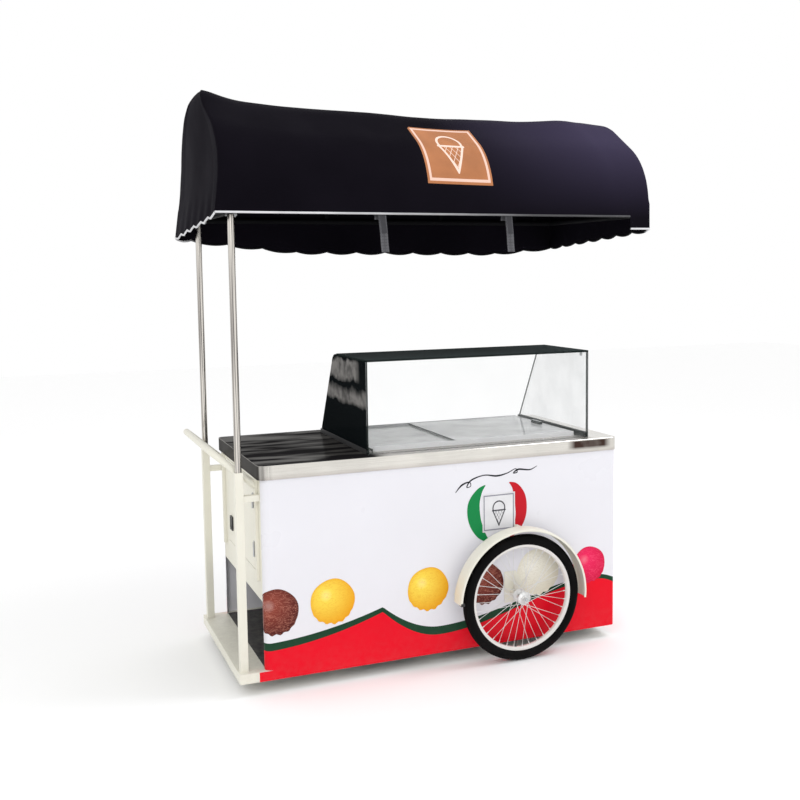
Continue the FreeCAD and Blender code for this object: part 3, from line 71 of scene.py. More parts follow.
# %% [markdown]
# ## Helpers for meshes
# Each new piece is a list of points and faces. One helper makes the object, gives it a
# material and hangs it on its body. Grids, turned rings and swept tubes cover nearly all that
# a cart is made of, so each of them gets one short function.

# %% Mesh helpers
def add_piece(name, points, faces, material, body="cart", smooth=True):
    """A mesh object that rides on one body."""
    mesh = bpy.data.meshes.new(name)
    mesh.from_pydata([tuple(p) for p in points], [], [tuple(f) for f in faces])
    mesh.validate()
    for polygon in mesh.polygons:
        polygon.use_smooth = smooth
    piece = bpy.data.objects.new(name, mesh)
    bpy.context.scene.collection.objects.link(piece)
    mesh.materials.append(material)
    if body is not None:
        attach(piece, body)
    return piece


def set_uv(piece, uvs):
    """A UV layer from one (u, v) per point."""
    layer = piece.data.uv_layers.new(name="UVMap")
    for loop in piece.data.loops:
        layer.data[loop.index].uv = uvs[loop.vertex_index]


def grid_faces(rows, columns, ring=False, first=0, flip=False):
    """Quads of a grid of points; ring closes each row on itself."""
    faces = []
    for r in range(rows - 1):
        for c in range(columns if ring else columns - 1):
            d = (c + 1) % columns
            a, b = first + r * columns + c, first + r * columns + d
            quad = (a, b, b + columns, a + columns)
            faces.append(quad[::-1] if flip else quad)
    return faces


def turned(outline, steps, centre, closed=True):
    """Points and faces of an outline of (radius, y) turned about the Y axis through centre."""
    points = []
    for i in range(steps):
        a = 2.0 * math.pi * i / steps
        for r, y in outline:
            points.append(centre + Vector((r * math.cos(a), y, r * math.sin(a))))
    n = len(outline)
    faces = []
    for i in range(steps):
        j = (i + 1) % steps
        for k in range(n if closed else n - 1):
            m = (k + 1) % n
            faces.append((i * n + k, i * n + m, j * n + m, j * n + k))
    return points, faces


def swept(path, radius, sides=10, closed=False):
    """Points and faces of a round tube along a path; radius is a number or one per point."""
    points, faces = [], []
    n = len(path)
    up = Vector((0.0, 0.0, 1.0))
    for i, here in enumerate(path):
        before = path[i - 1] if closed or i else here
        after = path[(i + 1) % n] if closed or i < n - 1 else here
        along = (after - before).normalized()
        side = along.cross(up)
        if side.length < 0.05:
            side = along.cross(Vector((0.0, 1.0, 0.0)))
        side.normalize()
        over = side.cross(along).normalized()
        r = radius[i] if isinstance(radius, (list, tuple)) else radius
        for k in range(sides):
            a = 2.0 * math.pi * k / sides
            points.append(here + side * (r * math.cos(a)) + over * (r * math.sin(a)))
    rows = n + 1 if closed else n
    for r in range(rows - 1):
        for c in range(sides):
            d = (c + 1) % sides
            a, b = (r % n) * sides, ((r + 1) % n) * sides
            faces.append((a + c, a + d, b + d, b + c))
    if not closed:
        faces.append(tuple(range(sides))[::-1])
        faces.append(tuple((n - 1) * sides + c for c in range(sides)))
    return points, faces


def gathered(parts):
    """Joins several (points, faces) lists into one."""
    points, faces = [], []
    for some_points, some_faces in parts:
        shift = len(points)
        points += list(some_points)
        faces += [tuple(i + shift for i in f) for f in some_faces]
    return points, faces


def block(x0, x1, y0, y1, z0, z1):
    """A box as points and faces."""
    corners = ((x0, y0), (x1, y0), (x1, y1), (x0, y1))
    points = [Vector((x, y, z)) for z in (z0, z1) for x, y in corners]
    faces = [(3, 2, 1, 0), (4, 5, 6, 7), (0, 1, 5, 4), (1, 2, 6, 5), (2, 3, 7, 6), (3, 0, 4, 7)]
    return points, faces


def soften(piece, width=0.0008, segments=2, angle=35.0):
    """Rounds the sharp edges of a piece a little, as tools and paint leave them."""
    bevel = piece.modifiers.new("soft edges", "BEVEL")
    bevel.width = width
    bevel.segments = segments
    bevel.limit_method = "ANGLE"
    bevel.angle_limit = math.radians(angle)
    bevel.use_clamp_overlap = True


print("helpers ready")

# %% [markdown]
# ## Light, floor and camera
# The cart is pictured alone on white. A pale floor and an even white room give the same
# light from all round, and one large soft lamp at the front left models the forms. The camera
# stands a little above the counter, at the left end of the customer side.

# %% Room and lamps
def shader_node(tree, kind, links=None, **values):
    """Adds a node, sets its values and joins or fills its input sockets."""
    made = tree.nodes.new(kind)
    for name, value in values.items():
        setattr(made, name, value)
    for socket, source in (links or {}).items():
        if isinstance(source, bpy.types.NodeSocket):
            tree.links.new(source, made.inputs[socket])
        else:
            made.inputs[socket].default_value = source
    return made


room = bpy.data.worlds.new("white room")
bpy.context.scene.world = room
room.use_nodes = True
room.node_tree.nodes["Background"].inputs["Color"].default_value = (1.0, 1.0, 1.0, 1.0)
room.node_tree.nodes["Background"].inputs["Strength"].default_value = 1.0
bpy.context.scene.view_settings.view_transform = "Standard"


def soft_lamp(name, place, aim, size, power, colour=(1.0, 1.0, 1.0)):
    """A square lamp that faces a point."""
    light = bpy.data.lights.new(name, "AREA")
    light.shape = "SQUARE"
    light.size = size
    light.energy = power
    light.color = colour
    lamp = bpy.data.objects.new(name, light)
    bpy.context.scene.collection.objects.link(lamp)
    lamp.location = place
    lamp.rotation_euler = (Vector(aim) - Vector(place)).to_track_quat("-Z", "Y").to_euler()


soft_lamp("front lamp", (-3.2, -4.6, 3.9), (0.0, 0.0, 0.9), 2.6, 45.0)
soft_lamp("canopy lamp", (2.9, -1.2, 4.6), (0.6, 0.0, 2.2), 1.6, 60.0, (0.93, 0.93, 1.0))

floor_paint = bpy.data.materials.new("pale floor")
floor_paint.use_nodes = True
floor_face = floor_paint.node_tree.nodes["Principled BSDF"]
floor_face.inputs["Base Color"].default_value = (0.98, 0.98, 0.98, 1.0)
floor_face.inputs["Roughness"].default_value = 0.9
floor_face.inputs["Specular IOR Level"].default_value = 0.1
FLOOR = 14.0
floor_points = [(x * FLOOR, y * FLOOR, 0.0) for x, y in ((-1, -1), (1, -1), (1, 1), (-1, 1))]
add_piece("floor", floor_points, [(0, 1, 2, 3)], floor_paint, body=None)
print("lamps 2, floor", 2.0 * FLOOR, "m wide")

# %% Camera
CAMERA_PLACE = Vector((-1.695, -4.338, 1.683))
CAMERA_TURN = 0.3924
CAMERA_TILT = -0.0966
CAMERA_ROLL = -0.0111
CAMERA_LENS = 46.48
CAMERA_SHIFT = -0.0375

forward = Vector((math.sin(CAMERA_TURN) * math.cos(CAMERA_TILT),
                  math.cos(CAMERA_TURN) * math.cos(CAMERA_TILT), math.sin(CAMERA_TILT)))
level = Vector((math.cos(CAMERA_TURN), -math.sin(CAMERA_TURN), 0.0))
above = level.cross(forward)
right = level * math.cos(CAMERA_ROLL) + above * math.sin(CAMERA_ROLL)
upward = above * math.cos(CAMERA_ROLL) - level * math.sin(CAMERA_ROLL)
lens = bpy.data.cameras.new("photo camera")
lens.sensor_width = 36.0
lens.lens = CAMERA_LENS
lens.shift_x = CAMERA_SHIFT
lens.shift_y = CAMERA_SHIFT
camera = bpy.data.objects.new("photo camera", lens)
bpy.context.scene.collection.objects.link(camera)
camera.matrix_world = Matrix((
    (right.x, upward.x, -forward.x, CAMERA_PLACE.x),
    (right.y, upward.y, -forward.y, CAMERA_PLACE.y),
    (right.z, upward.z, -forward.z, CAMERA_PLACE.z),
    (0.0, 0.0, 0.0, 1.0)))
bpy.context.scene.camera = camera
print("camera", tuple(round(v, 3) for v in camera.location), "lens", lens.lens)

# %% [markdown]
# ## Effects that several finishes share
# Powder coat, steel, plastic and print are never one flat colour. Five effects carry nearly
# all of the difference: cloudy colour, dust that settles low and on top, wear along edges, the
# fine lines of brushed steel, and the threads of cloth. Each is a node group that is built
# once and used with its own values, which keeps the materials short and alike.

# %% Short names for shader nodes
def effect(name, inputs, outputs):
    """An empty shader node group with named sockets."""
    group = bpy.data.node_groups.new(name, "ShaderNodeTree")
    for label, kind, value in inputs:
        socket = group.interface.new_socket(label, in_out="INPUT", socket_type="NodeSocket" + kind)
        socket.default_value = value
    for label, kind in outputs:
        group.interface.new_socket(label, in_out="OUTPUT", socket_type="NodeSocket" + kind)
    return group, group.nodes.new("NodeGroupInput").outputs, group.nodes.new("NodeGroupOutput")


def math_node(tree, operation, a, b=0.0, c=None, clamp=False):
    """A Math node's result."""
    links = {0: a, 1: b}
    if c is not None:
        links[2] = c
    return shader_node(tree, "ShaderNodeMath", links, operation=operation, use_clamp=clamp).outputs[0]


def times(tree, a, b, clamp=False):
    """The product of two values."""
    return math_node(tree, "MULTIPLY", a, b, clamp=clamp)


def most(tree, a, b):
    """The larger of two values."""
    return math_node(tree, "MAXIMUM", a, b)


def coordinates(tree, kind):
    """Object or UV coordinates."""
    return shader_node(tree, "ShaderNodeTexCoord").outputs[kind]


def surface_normal(tree):
    """The direction that the surface faces."""
    return shader_node(tree, "ShaderNodeNewGeometry").outputs["Normal"]


def split_axes(tree, vector):
    """A vector's X, Y and Z as sockets."""
    return shader_node(tree, "ShaderNodeSeparateXYZ", {"Vector": vector}).outputs


def stretched(tree, vector, scale):
    """A vector times another, axis by axis."""
    node = shader_node(tree, "ShaderNodeVectorMath", {0: vector, 1: scale}, operation="MULTIPLY")
    return node.outputs[0]


def grain(tree, vector, scale, detail, **more):
    """Cloud noise as one value."""
    sockets = {"Vector": vector, "Scale": scale, "Detail": detail, **more}
    return shader_node(tree, "ShaderNodeTexNoise", sockets).outputs["Fac"]


def bump_normal(tree, height, strength, distance, **more):
    """A normal tilted by the slope of a height."""
    sockets = {"Height": height, "Strength": strength, "Distance": distance, **more}
    return shader_node(tree, "ShaderNodeBump", sockets).outputs["Normal"]


def ramp(tree, value, low, high, out_low=0.0, out_high=1.0):
    """A value carried from one range to another and held there."""
    return shader_node(tree, "ShaderNodeMapRange", {
        "Value": value, "From Min": low, "From Max": high, "To Min": out_low, "To Max": out_high,
    }, clamp=True).outputs["Result"]


def blend_colours(tree, share, first, second, how="MIX"):
    """Two colours blended by a share."""
    mix = tree.nodes.new("ShaderNodeMix")
    mix.data_type = "RGBA"
    mix.blend_type = how
    for socket, source in ((0, share), (6, first), (7, second)):
        if isinstance(source, bpy.types.NodeSocket):
            tree.links.new(source, mix.inputs[socket])
        elif socket == 0:
            mix.inputs[0].default_value = source
        else:
            mix.inputs[socket].default_value = tuple(source) + (1.0,) * (4 - len(source))
    return mix.outputs[2]


print("node helpers ready")


# %% Effects: cloudy colour and settled dust
def cloudy_group():
    """A colour that darkens in broad clouds."""
    sockets = [("Color", "Color", (0.8, 0.8, 0.8, 1.0)), ("Amount", "Float", 0.06), ("Scale", "Float", 4.0)]
    group, given, out = effect("cloudy colour", sockets, [("Color", "Color"), ("Mask", "Float")])
    place = coordinates(group, "Object")
    cloud = grain(group, place, given["Scale"], 4.0)
    mask = ramp(group, cloud, 0.35, 0.65)
    dark = times(group, mask, given["Amount"])
    group.links.new(blend_colours(group, dark, given["Color"], (0.0, 0.0, 0.0)), out.inputs["Color"])
    group.links.new(mask, out.inputs["Mask"])
    return group


def dust_group():
    """Dust below a height and on faces that look up."""
    sockets = [("Amount", "Float", 0.2), ("Height", "Float", 0.35)]
    group, given, out = effect("settled dust", sockets, [("Mask", "Float")])
    place = coordinates(group, "Object")
    split = split_axes(group, place)
    facing = split_axes(group, surface_normal(group))
    low = ramp(group, split["Z"], 0.0, given["Height"], 1.0, 0.0)
    low = math_node(group, "POWER", low, 2.0)
    top = ramp(group, facing["Z"], 0.6, 1.0, 0.0, 0.35)
    speck = grain(group, place, 38.0, 6.0, Roughness=0.7)
    soft = ramp(group, speck, 0.35, 0.75)
    both = math_node(group, "ADD", low, top, clamp=True)
    mask = times(group, times(group, both, soft), given["Amount"], clamp=True)
    group.links.new(mask, out.inputs["Mask"])
    return group


CLOUDY = cloudy_group()
DUST = dust_group()
print("effects", CLOUDY.name, DUST.name)


# %% Effects: worn edges, brushed lines and weave
def edge_group():
    """Chips where the surface turns sharply."""
    sockets = [("Radius", "Float", 0.003), ("Amount", "Float", 0.5)]
    group, given, out = effect("edge wear", sockets, [("Mask", "Float")])
    round_edge = shader_node(group, "ShaderNodeBevel", {"Radius": given["Radius"]}, samples=4)
    flat = surface_normal(group)
    same = shader_node(group, "ShaderNodeVectorMath", {0: round_edge.outputs["Normal"], 1: flat},
                       operation="DOT_PRODUCT")
    edge = ramp(group, same.outputs["Value"], 0.97, 0.80)
    place = coordinates(group, "Object")
    chips = grain(group, place, 55.0, 5.0, Roughness=0.75)
    broken = ramp(group, chips, 0.42, 0.62)
    mask = times(group, times(group, edge, broken), given["Amount"], clamp=True)
    group.links.new(mask, out.inputs["Mask"])
    return group


def brushed_group():
    """Fine drawn lines; Stretch is small along them and large across."""
    sockets = [("Stretch", "Vector", (1.0, 60.0, 60.0)), ("Strength", "Float", 0.1)]
    group, given, out = effect("brushed lines", sockets, [("Value", "Float"), ("Normal", "Vector")])
    place = coordinates(group, "Object")
    drawn = stretched(group, place, given["Stretch"])
    lines = grain(group, drawn, 9.0, 5.0, Roughness=0.65)
    group.links.new(lines, out.inputs["Value"])
    group.links.new(bump_normal(group, lines, given["Strength"], 0.0004), out.inputs["Normal"])
    return group


def weave_group():
    """Threads crossing each other in UV space."""
    sockets = [("Threads", "Float", 900.0), ("Strength", "Float", 0.25)]
    group, given, out = effect("woven threads", sockets, [("Mask", "Float"), ("Normal", "Vector")])
    place = coordinates(group, "UV")
    split = split_axes(group, place)
    rib = []
    for axis in ("X", "Y"):
        turn = times(group, split[axis], given["Threads"])
        rib.append(math_node(group, "ABSOLUTE", math_node(group, "SINE", turn)))
    mask = times(group, rib[0], rib[1])
    group.links.new(mask, out.inputs["Mask"])
    group.links.new(bump_normal(group, mask, given["Strength"], 0.0003), out.inputs["Normal"])
    return group


EDGES = edge_group()
BRUSHED = brushed_group()
WEAVE = weave_group()
print("effects", EDGES.name, BRUSHED.name, WEAVE.name)


# %% Helpers for materials
def new_material(name, roughness, metallic=0.0, specular=0.5, coat=0.0):
    """A material with its Principled node, ready to be joined up."""
    material = bpy.data.materials.new(name)
    material.use_nodes = True
    tree = material.node_tree
    face = tree.nodes["Principled BSDF"]
    face.inputs["Roughness"].default_value = roughness
    face.inputs["Metallic"].default_value = metallic
    face.inputs["Specular IOR Level"].default_value = specular
    face.inputs["Coat Weight"].default_value = coat
    return material, tree, face


def use_effect(tree, group, **values):
    """Places an effect group in a material."""
    made = tree.nodes.new("ShaderNodeGroup")
    made.node_tree = group
    for name, value in values.items():
        socket = made.inputs[name]
        if isinstance(value, bpy.types.NodeSocket):
            tree.links.new(value, socket)
        elif name == "Color":
            socket.default_value = tuple(value) + (1.0,) * (4 - len(value))
        else:
            socket.default_value = value
    return made.outputs


def join(tree, source, socket):
    """Links one socket to another."""
    tree.links.new(source, socket)


def fine_bump(tree, scale, strength):
    """Small irregular relief, such as the orange peel of powder coat."""
    return bump_normal(tree, grain(tree, coordinates(tree, "Object"), scale, 4.0), strength, 0.0005)


print("material helpers ready")


# %% [markdown]
# ## Painted sheet and tube
# The frame is mild steel under ivory powder coat, and the body is white coated sheet. Powder
# coat has a faint orange-peel surface, gathers dust low down, and goes thin and grey at the
# edges. One function with a few colours makes them all, so that their gloss agrees.

# %% Painted and plastic finishes
DUST_COLOUR = (0.34, 0.31, 0.27)


def coated(name, colour, roughness, under=(0.30, 0.29, 0.27), wear=0.35, dust=0.25, cloud=0.04,
           specular=0.5, peel=0.06):
    """Powder coat or plastic with cloudy colour, worn edges and dust."""
    material, tree, face = new_material(name, roughness, specular=specular)
    base = use_effect(tree, CLOUDY, Color=colour, Amount=cloud, Scale=3.0)
    worn = use_effect(tree, EDGES, Radius=0.0025, Amount=wear)["Mask"]
    grey = use_effect(tree, DUST, Amount=dust, Height=0.45)["Mask"]
    tone = blend_colours(tree, worn, base["Color"], under)
    tone = blend_colours(tree, grey, tone, DUST_COLOUR)
    join(tree, tone, face.inputs["Base Color"])
    dull = math_node(tree, "ADD", base["Mask"], grey)
    join(tree, ramp(tree, dull, 0.0, 1.4, roughness - 0.05, roughness + 0.18), face.inputs["Roughness"])
    join(tree, fine_bump(tree, 420.0, peel), face.inputs["Normal"])
    return material


IVORY = coated("ivory powder coat", (0.800, 0.780, 0.680), 0.42, specular=0.3)
WHITE_SHEET = coated("white coated sheet", (0.775, 0.77, 0.81), 0.32, wear=0.12, dust=0.12, cloud=0.02,
                     specular=0.3)
BLACK_COAT = coated("black coated sheet", (0.012, 0.012, 0.014), 0.45, under=(0.10,) * 3, dust=0.30)
DARK_TUBE = coated("dark tube coat", (0.007, 0.007, 0.008), 0.6, under=(0.03,) * 3, dust=0.02,
                   specular=0.03)
BLACK_PLASTIC = coated("black plastic", (0.014, 0.014, 0.015), 0.42, under=(0.06,) * 3, wear=0.3,
                       dust=0.12)
WHITE_PLASTIC = coated("white plastic", (0.74, 0.74, 0.75), 0.40, wear=0.0, dust=0.08)
FOAM = coated("yellow foam", (0.70, 0.60, 0.34), 0.9, wear=0.0, specular=0.1, peel=0.5)
GREY_RUBBER = coated("grey rubber", (0.075, 0.075, 0.078), 0.75, under=(0.14,) * 3, dust=0.6,
                     specular=0.2)
print("painted finishes ready")

# %% [markdown]
# ## Steel
# The counter, the tub and the tubes are stainless steel. Its look is mostly what it mirrors, broken by
# lines of the rolling and polishing, by water spots and by finger marks. On the counter and the upright
# tubes, dark reflections are also painted into the colour. The lines run along each piece, so the direction
# of stretch is a value of the material.

# %% Steel finishes
def steel(name, colour, roughness, stretch, lines=0.12, smear=0.10):
    """Metal with drawn lines and smears."""
    material, tree, face = new_material(name, roughness, metallic=1.0)
    base = use_effect(tree, CLOUDY, Color=colour, Amount=smear, Scale=5.0)
    drawn = use_effect(tree, BRUSHED, Stretch=stretch, Strength=lines)
    shade = ramp(tree, drawn["Value"], 0.35, 0.70, 0.0, 0.22)
    tone = blend_colours(tree, shade, base["Color"], tuple(0.45 * c for c in colour))
    join(tree, tone, face.inputs["Base Color"])
    spread = math_node(tree, "ADD", times(tree, base["Mask"], 0.10), roughness)
    ridged = ramp(tree, drawn["Value"], 0.3, 0.7, -0.04, 0.06)
    join(tree, math_node(tree, "ADD", spread, ridged, clamp=True), face.inputs["Roughness"])
    join(tree, drawn["Normal"], face.inputs["Normal"])
    return material


STEEL_SHEET = steel("brushed tub steel", (0.78, 0.77, 0.74), 0.28, (1.0, 40.0, 40.0))
POLISHED = steel("polished spoke steel", (0.84, 0.84, 0.83), 0.34, (4.0, 4.0, 4.0), lines=0.02,
                 smear=0.04)
ZINC = steel("zinc plate", (0.56, 0.57, 0.58), 0.42, (8.0, 8.0, 8.0), lines=0.2, smear=0.2)
ALUMINIUM = steel("bare aluminium", (0.66, 0.67, 0.68), 0.45, (30.0, 1.0, 1.0), lines=0.2, smear=0.15)


# %% Counter steel
def within(tree, value, low, low_full, high_full, high):
    """1 between the two full values, falling to 0 at low and high."""
    return times(tree, ramp(tree, value, low, low_full), ramp(tree, value, high, high_full))


def counter_steel():
    """Polished sheet: a pale folded band with a painted shadow at its lower edge, a painted dark reflection
    on the top, the left end face and the near-left corner, and one painted dark reflection patch on the
    band's front.
    """
    material, tree, face = new_material("polished counter steel", 0.16, metallic=1.0)
    face.inputs["Specular IOR Level"].default_value = 0.0
    place = coordinates(tree, "Object")
    at = split_axes(tree, place)
    way = split_axes(tree, surface_normal(tree))
    drawn = use_effect(tree, BRUSHED, Stretch=(1.0, 45.0, 45.0), Strength=0.12)
    lines = ramp(tree, drawn["Value"], 0.38, 0.66, 0.0, 0.30)
    sheet = blend_colours(tree, lines, (0.80, 0.775, 0.72), (0.50, 0.47, 0.43))
    # Painted shadow: the band darkens towards its lower edge.
    under = ramp(tree, at["Z"], 0.888, 0.868, 0.0, 0.45)
    sheet = blend_colours(tree, under, sheet, (0.42, 0.36, 0.33))
    base = use_effect(tree, CLOUDY, Color=sheet, Amount=0.14, Scale=4.0)
    # Painted dark reflection: the top goes near black in noisy sweeps, and so do the left end face and the
    # near-left corner of the band; the metal is turned down where it is dark.
    top = ramp(tree, way["Z"], 0.75, 0.95)
    free_end = ramp(tree, at["X"], -0.25, -0.31, 0.35, 1.0)
    free_end = times(tree, free_end, ramp(tree, at["X"], 0.74, 0.72, 0.1, 1.0))
    sweep = grain(tree, stretched(tree, place, (1.6, 7.0, 1.0)), 1.7, 2.0)
    shade = ramp(tree, sweep, 0.36, 0.56, 0.86, 1.0)
    dark = times(tree, times(tree, top, shade), free_end)
    end_face = times(tree, ramp(tree, way["X"], -0.5, -0.85), 0.93)
    corner = times(tree, ramp(tree, at["X"], -0.74, -0.795), ramp(tree, way["Y"], -0.5, -0.9))
    streaks = grain(tree, stretched(tree, place, (30.0, 1.0, 1.5)), 2.2, 3.0)
    corner = times(tree, corner, ramp(tree, streaks, 0.40, 0.62, 0.25, 0.85))
    dark = most(tree, most(tree, dark, end_face), corner)
    tone = blend_colours(tree, dark, base["Color"], (0.012, 0.011, 0.012))
    join(tree, ramp(tree, dark, 0.0, 1.0, 1.0, 0.02), face.inputs["Metallic"])
    # Painted dark reflection: one dark patch on the band's front towards the right end.
    near = within(tree, at["X"], 0.585, 0.625, 0.775, 0.81)
    low = within(tree, at["Z"], 0.880, 0.893, 0.918, 0.923)
    painted_reflection_patch = times(tree, times(tree, near, low), ramp(tree, way["Y"], -0.6, -0.9))
    wave = grain(tree, place, 14.0, 3.0)
    painted_reflection_patch = times(tree, painted_reflection_patch, ramp(tree, wave, 0.30, 0.50, 0.86, 1.0))
    tone = blend_colours(tree, painted_reflection_patch, tone, (0.060, 0.036, 0.030))
    join(tree, tone, face.inputs["Base Color"])
    join(tree, ramp(tree, drawn["Value"], 0.3, 0.7, 0.12, 0.22), face.inputs["Roughness"])
    join(tree, drawn["Normal"], face.inputs["Normal"])
    return material


def tube_steel():
    """Drawn tube with painted reflections: long stripes from light to dark run down its length."""
    material, tree, face = new_material("drawn tube steel", 0.20, metallic=1.0)
    way = split_axes(tree, surface_normal(tree))
    height = split_axes(tree, coordinates(tree, "Object"))["Z"]
    drawn = use_effect(tree, BRUSHED, Stretch=(40.0, 40.0, 0.8), Strength=0.06)
    # Painted reflection: light and dark stripes set by which way the surface faces.
    turn = math_node(tree, "ARCTAN2", way["Y"], way["X"])
    around = shader_node(tree, "ShaderNodeCombineXYZ", {
        "X": times(tree, turn, 1.2), "Y": times(tree, height, 0.5)})
    bands = ramp(tree, grain(tree, around.outputs[0], 2.3, 2.0), 0.44, 0.60, 0.0, 0.85)
    tone = blend_colours(tree, bands, (0.78, 0.74, 0.68), (0.11, 0.10, 0.10))
    join(tree, tone, face.inputs["Base Color"])
    join(tree, ramp(tree, drawn["Value"], 0.3, 0.7, 0.16, 0.28), face.inputs["Roughness"])
    join(tree, drawn["Normal"], face.inputs["Normal"])
    return material


COUNTER_STEEL = counter_steel()
TUBE_STEEL = tube_steel()
print("steel finishes ready")

# %% [markdown]
# ## Glass and clear plastic
# The case is built from 8 mm panes. Clear glass is a plain transmitting surface whose shadow is let
# through, since the light bends too little to matter. The faces cut at the edge of a pane look nearly
# black, as one looks through its whole width there. The left end pane carries painted dark reflections with
# a pale band and a lighter patch, and the roof is tinted, so both stay dark against a white room.

# %% Glass finishes
def pane(name, tint, thick_axis, clear, dark=None, gloss=0.5):
    """Glass whose cut edges are dark. thick_axis is the axis across the pane."""
    material, tree, face = new_material(name, 0.02, specular=gloss)
    face.inputs["IOR"].default_value = 1.45
    way = split_axes(tree, surface_normal(tree))
    across = math_node(tree, "ABSOLUTE", way[thick_axis])
    edge = ramp(tree, across, 0.80, 0.55)
    if thick_axis == "X":
        edge = times(tree, edge, ramp(tree, way["Y"], 0.30, -0.10, 0.12, 1.0))
    smear = use_effect(tree, CLOUDY, Color=tint, Amount=0.15, Scale=7.0)
    tone = smear["Color"]
    cover = ramp(tree, smear["Mask"], 0.0, 1.0, clear, clear * 1.6)
    # For the left end pane, dark paints in dark reflections with a pale band; for the roof it gives an even
    # tint.
    if dark is not None:
        tone, cover = dark(tree, tone, cover)
    tone = blend_colours(tree, edge, tone, (0.010, 0.016, 0.015))
    cover = most(tree, cover, ramp(tree, edge, 0.0, 1.0, 0.0, 0.92))
    join(tree, tone, face.inputs["Base Color"])
    join(tree, cover, face.inputs["Alpha"])
    material.surface_render_method = "BLENDED"
    return material


def painted_left_pane_reflections(tree, tone, cover):
    """The left end pane: a painted dark reflection, nearly black, with one painted pale reflection band
    across it and a lighter painted reflection patch on top.
    """
    place = coordinates(tree, "Object")
    at = split_axes(tree, place)
    left = ramp(tree, at["X"], 0.05, -0.05)
    wave = grain(tree, place, 9.0, 3.0)
    height = math_node(tree, "ADD", at["Z"], ramp(tree, wave, 0.3, 0.7, -0.016, 0.016))
    band = times(tree, ramp(tree, height, 1.105, 1.125), ramp(tree, height, 1.185, 1.150))
    patch = times(tree, ramp(tree, height, 1.205, 1.225), ramp(tree, at["Y"], -0.26, -0.20))
    patch = times(tree, patch, ramp(tree, height, 1.30, 1.285))
    rough = grain(tree, place, 24.0, 4.0)
    pale = times(tree, most(tree, band, patch), ramp(tree, rough, 0.35, 0.6, 0.45, 1.0))
    tint_and_painted_reflection = blend_colours(tree, pale, (0.006, 0.008, 0.009), (0.25, 0.24, 0.23))
    tone = blend_colours(tree, left, tone, tint_and_painted_reflection)
    cover = most(tree, cover, times(tree, left, 0.96))
    return tone, cover


def smoky_roof(tree, tone, cover):
    """The roof pane: an even dark green-grey."""
    place = coordinates(tree, "Object")
    drift = grain(tree, place, 3.0, 2.0)
    clouds = ramp(tree, drift, 0.35, 0.65)
    tint_and_painted_reflection = blend_colours(tree, clouds, (0.034, 0.044, 0.044), (0.046, 0.058, 0.058))
    return tint_and_painted_reflection, most(tree, cover, 0.90)


GLASS_FRONT = pane("clear front pane", (0.80, 0.88, 0.86), "Y", clear=0.025)
GLASS_ENDS = pane("end panes", (0.88, 0.90, 0.92), "X", clear=0.10, dark=painted_left_pane_reflections, gloss=0.0)
GLASS_ROOF = pane("smoky roof pane", (0.60, 0.66, 0.65), "Z", clear=0.3, dark=smoky_roof, gloss=0.0)
CLEAR_LID = pane("clear lid plastic", (0.97, 0.98, 0.98), "Z", clear=0.50)
print("glass ready")

# %% [markdown]
# ## Dressing the solids
# The solids come with hard edges. Real sheet and tube have small radii that catch the light, so each solid
# gets up to three steps as modifiers, which leave the mesh itself alone: the seams between its faces are
# joined, its sharp edges are rounded where it has an edge radius, and its shading is smoothed below an
# angle.

# %% Finish of every solid
def clean_shading(name, angle, joins):
    """Geometry nodes that drop stored normals, join seams and smooth below an angle."""
    group = bpy.data.node_groups.new(name, "GeometryNodeTree")
    group.interface.new_socket("Geometry", in_out="INPUT", socket_type="NodeSocketGeometry")
    group.interface.new_socket("Geometry", in_out="OUTPUT", socket_type="NodeSocketGeometry")
    start = group.nodes.new("NodeGroupInput").outputs[0]
    end = group.nodes.new("NodeGroupOutput").inputs[0]
    if joins:
        drop = shader_node(group, "GeometryNodeRemoveAttribute", {
            "Geometry": start, "Name": "custom_normal"})
        merge = shader_node(group, "GeometryNodeMergeByDistance", {
            "Geometry": drop.outputs[0], "Distance": 0.00001})
        start = merge.outputs[0]
    whole = shader_node(group, "GeometryNodeSetShadeSmooth", {
        "Geometry": start, "Shade Smooth": True}, domain="FACE")
    bend = shader_node(group, "GeometryNodeInputMeshEdgeAngle").outputs["Unsigned Angle"]
    under = shader_node(group, "FunctionNodeCompare", {
        0: bend, 1: math.radians(angle)}, operation="LESS_THAN")
    part = shader_node(group, "GeometryNodeSetShadeSmooth", {
        "Geometry": whole.outputs[0], "Shade Smooth": under.outputs[0]}, domain="EDGE")
    group.links.new(part.outputs[0], end)
    return group


JOIN_SEAMS = clean_shading("join seams", 36.0, True)
SMOOTH_EDGES = clean_shading("smooth rounded edges", 40.0, False)


def dress(node, material, radius=0.0008):
    """Gives one solid its material, its soft edges and its smooth shading."""
    solid = NODES[node]
    solid.data.materials.clear()
    solid.data.materials.append(material)
    seams = solid.modifiers.new("join seams", "NODES")
    seams.node_group = JOIN_SEAMS
    if radius > 0.0:
        soften(solid, radius, 2, 40.0)
        last = solid.modifiers.new("smooth", "NODES")
        last.node_group = SMOOTH_EDGES
        weighted = solid.modifiers.new("flat faces", "WEIGHTED_NORMAL")
        weighted.keep_sharp = True


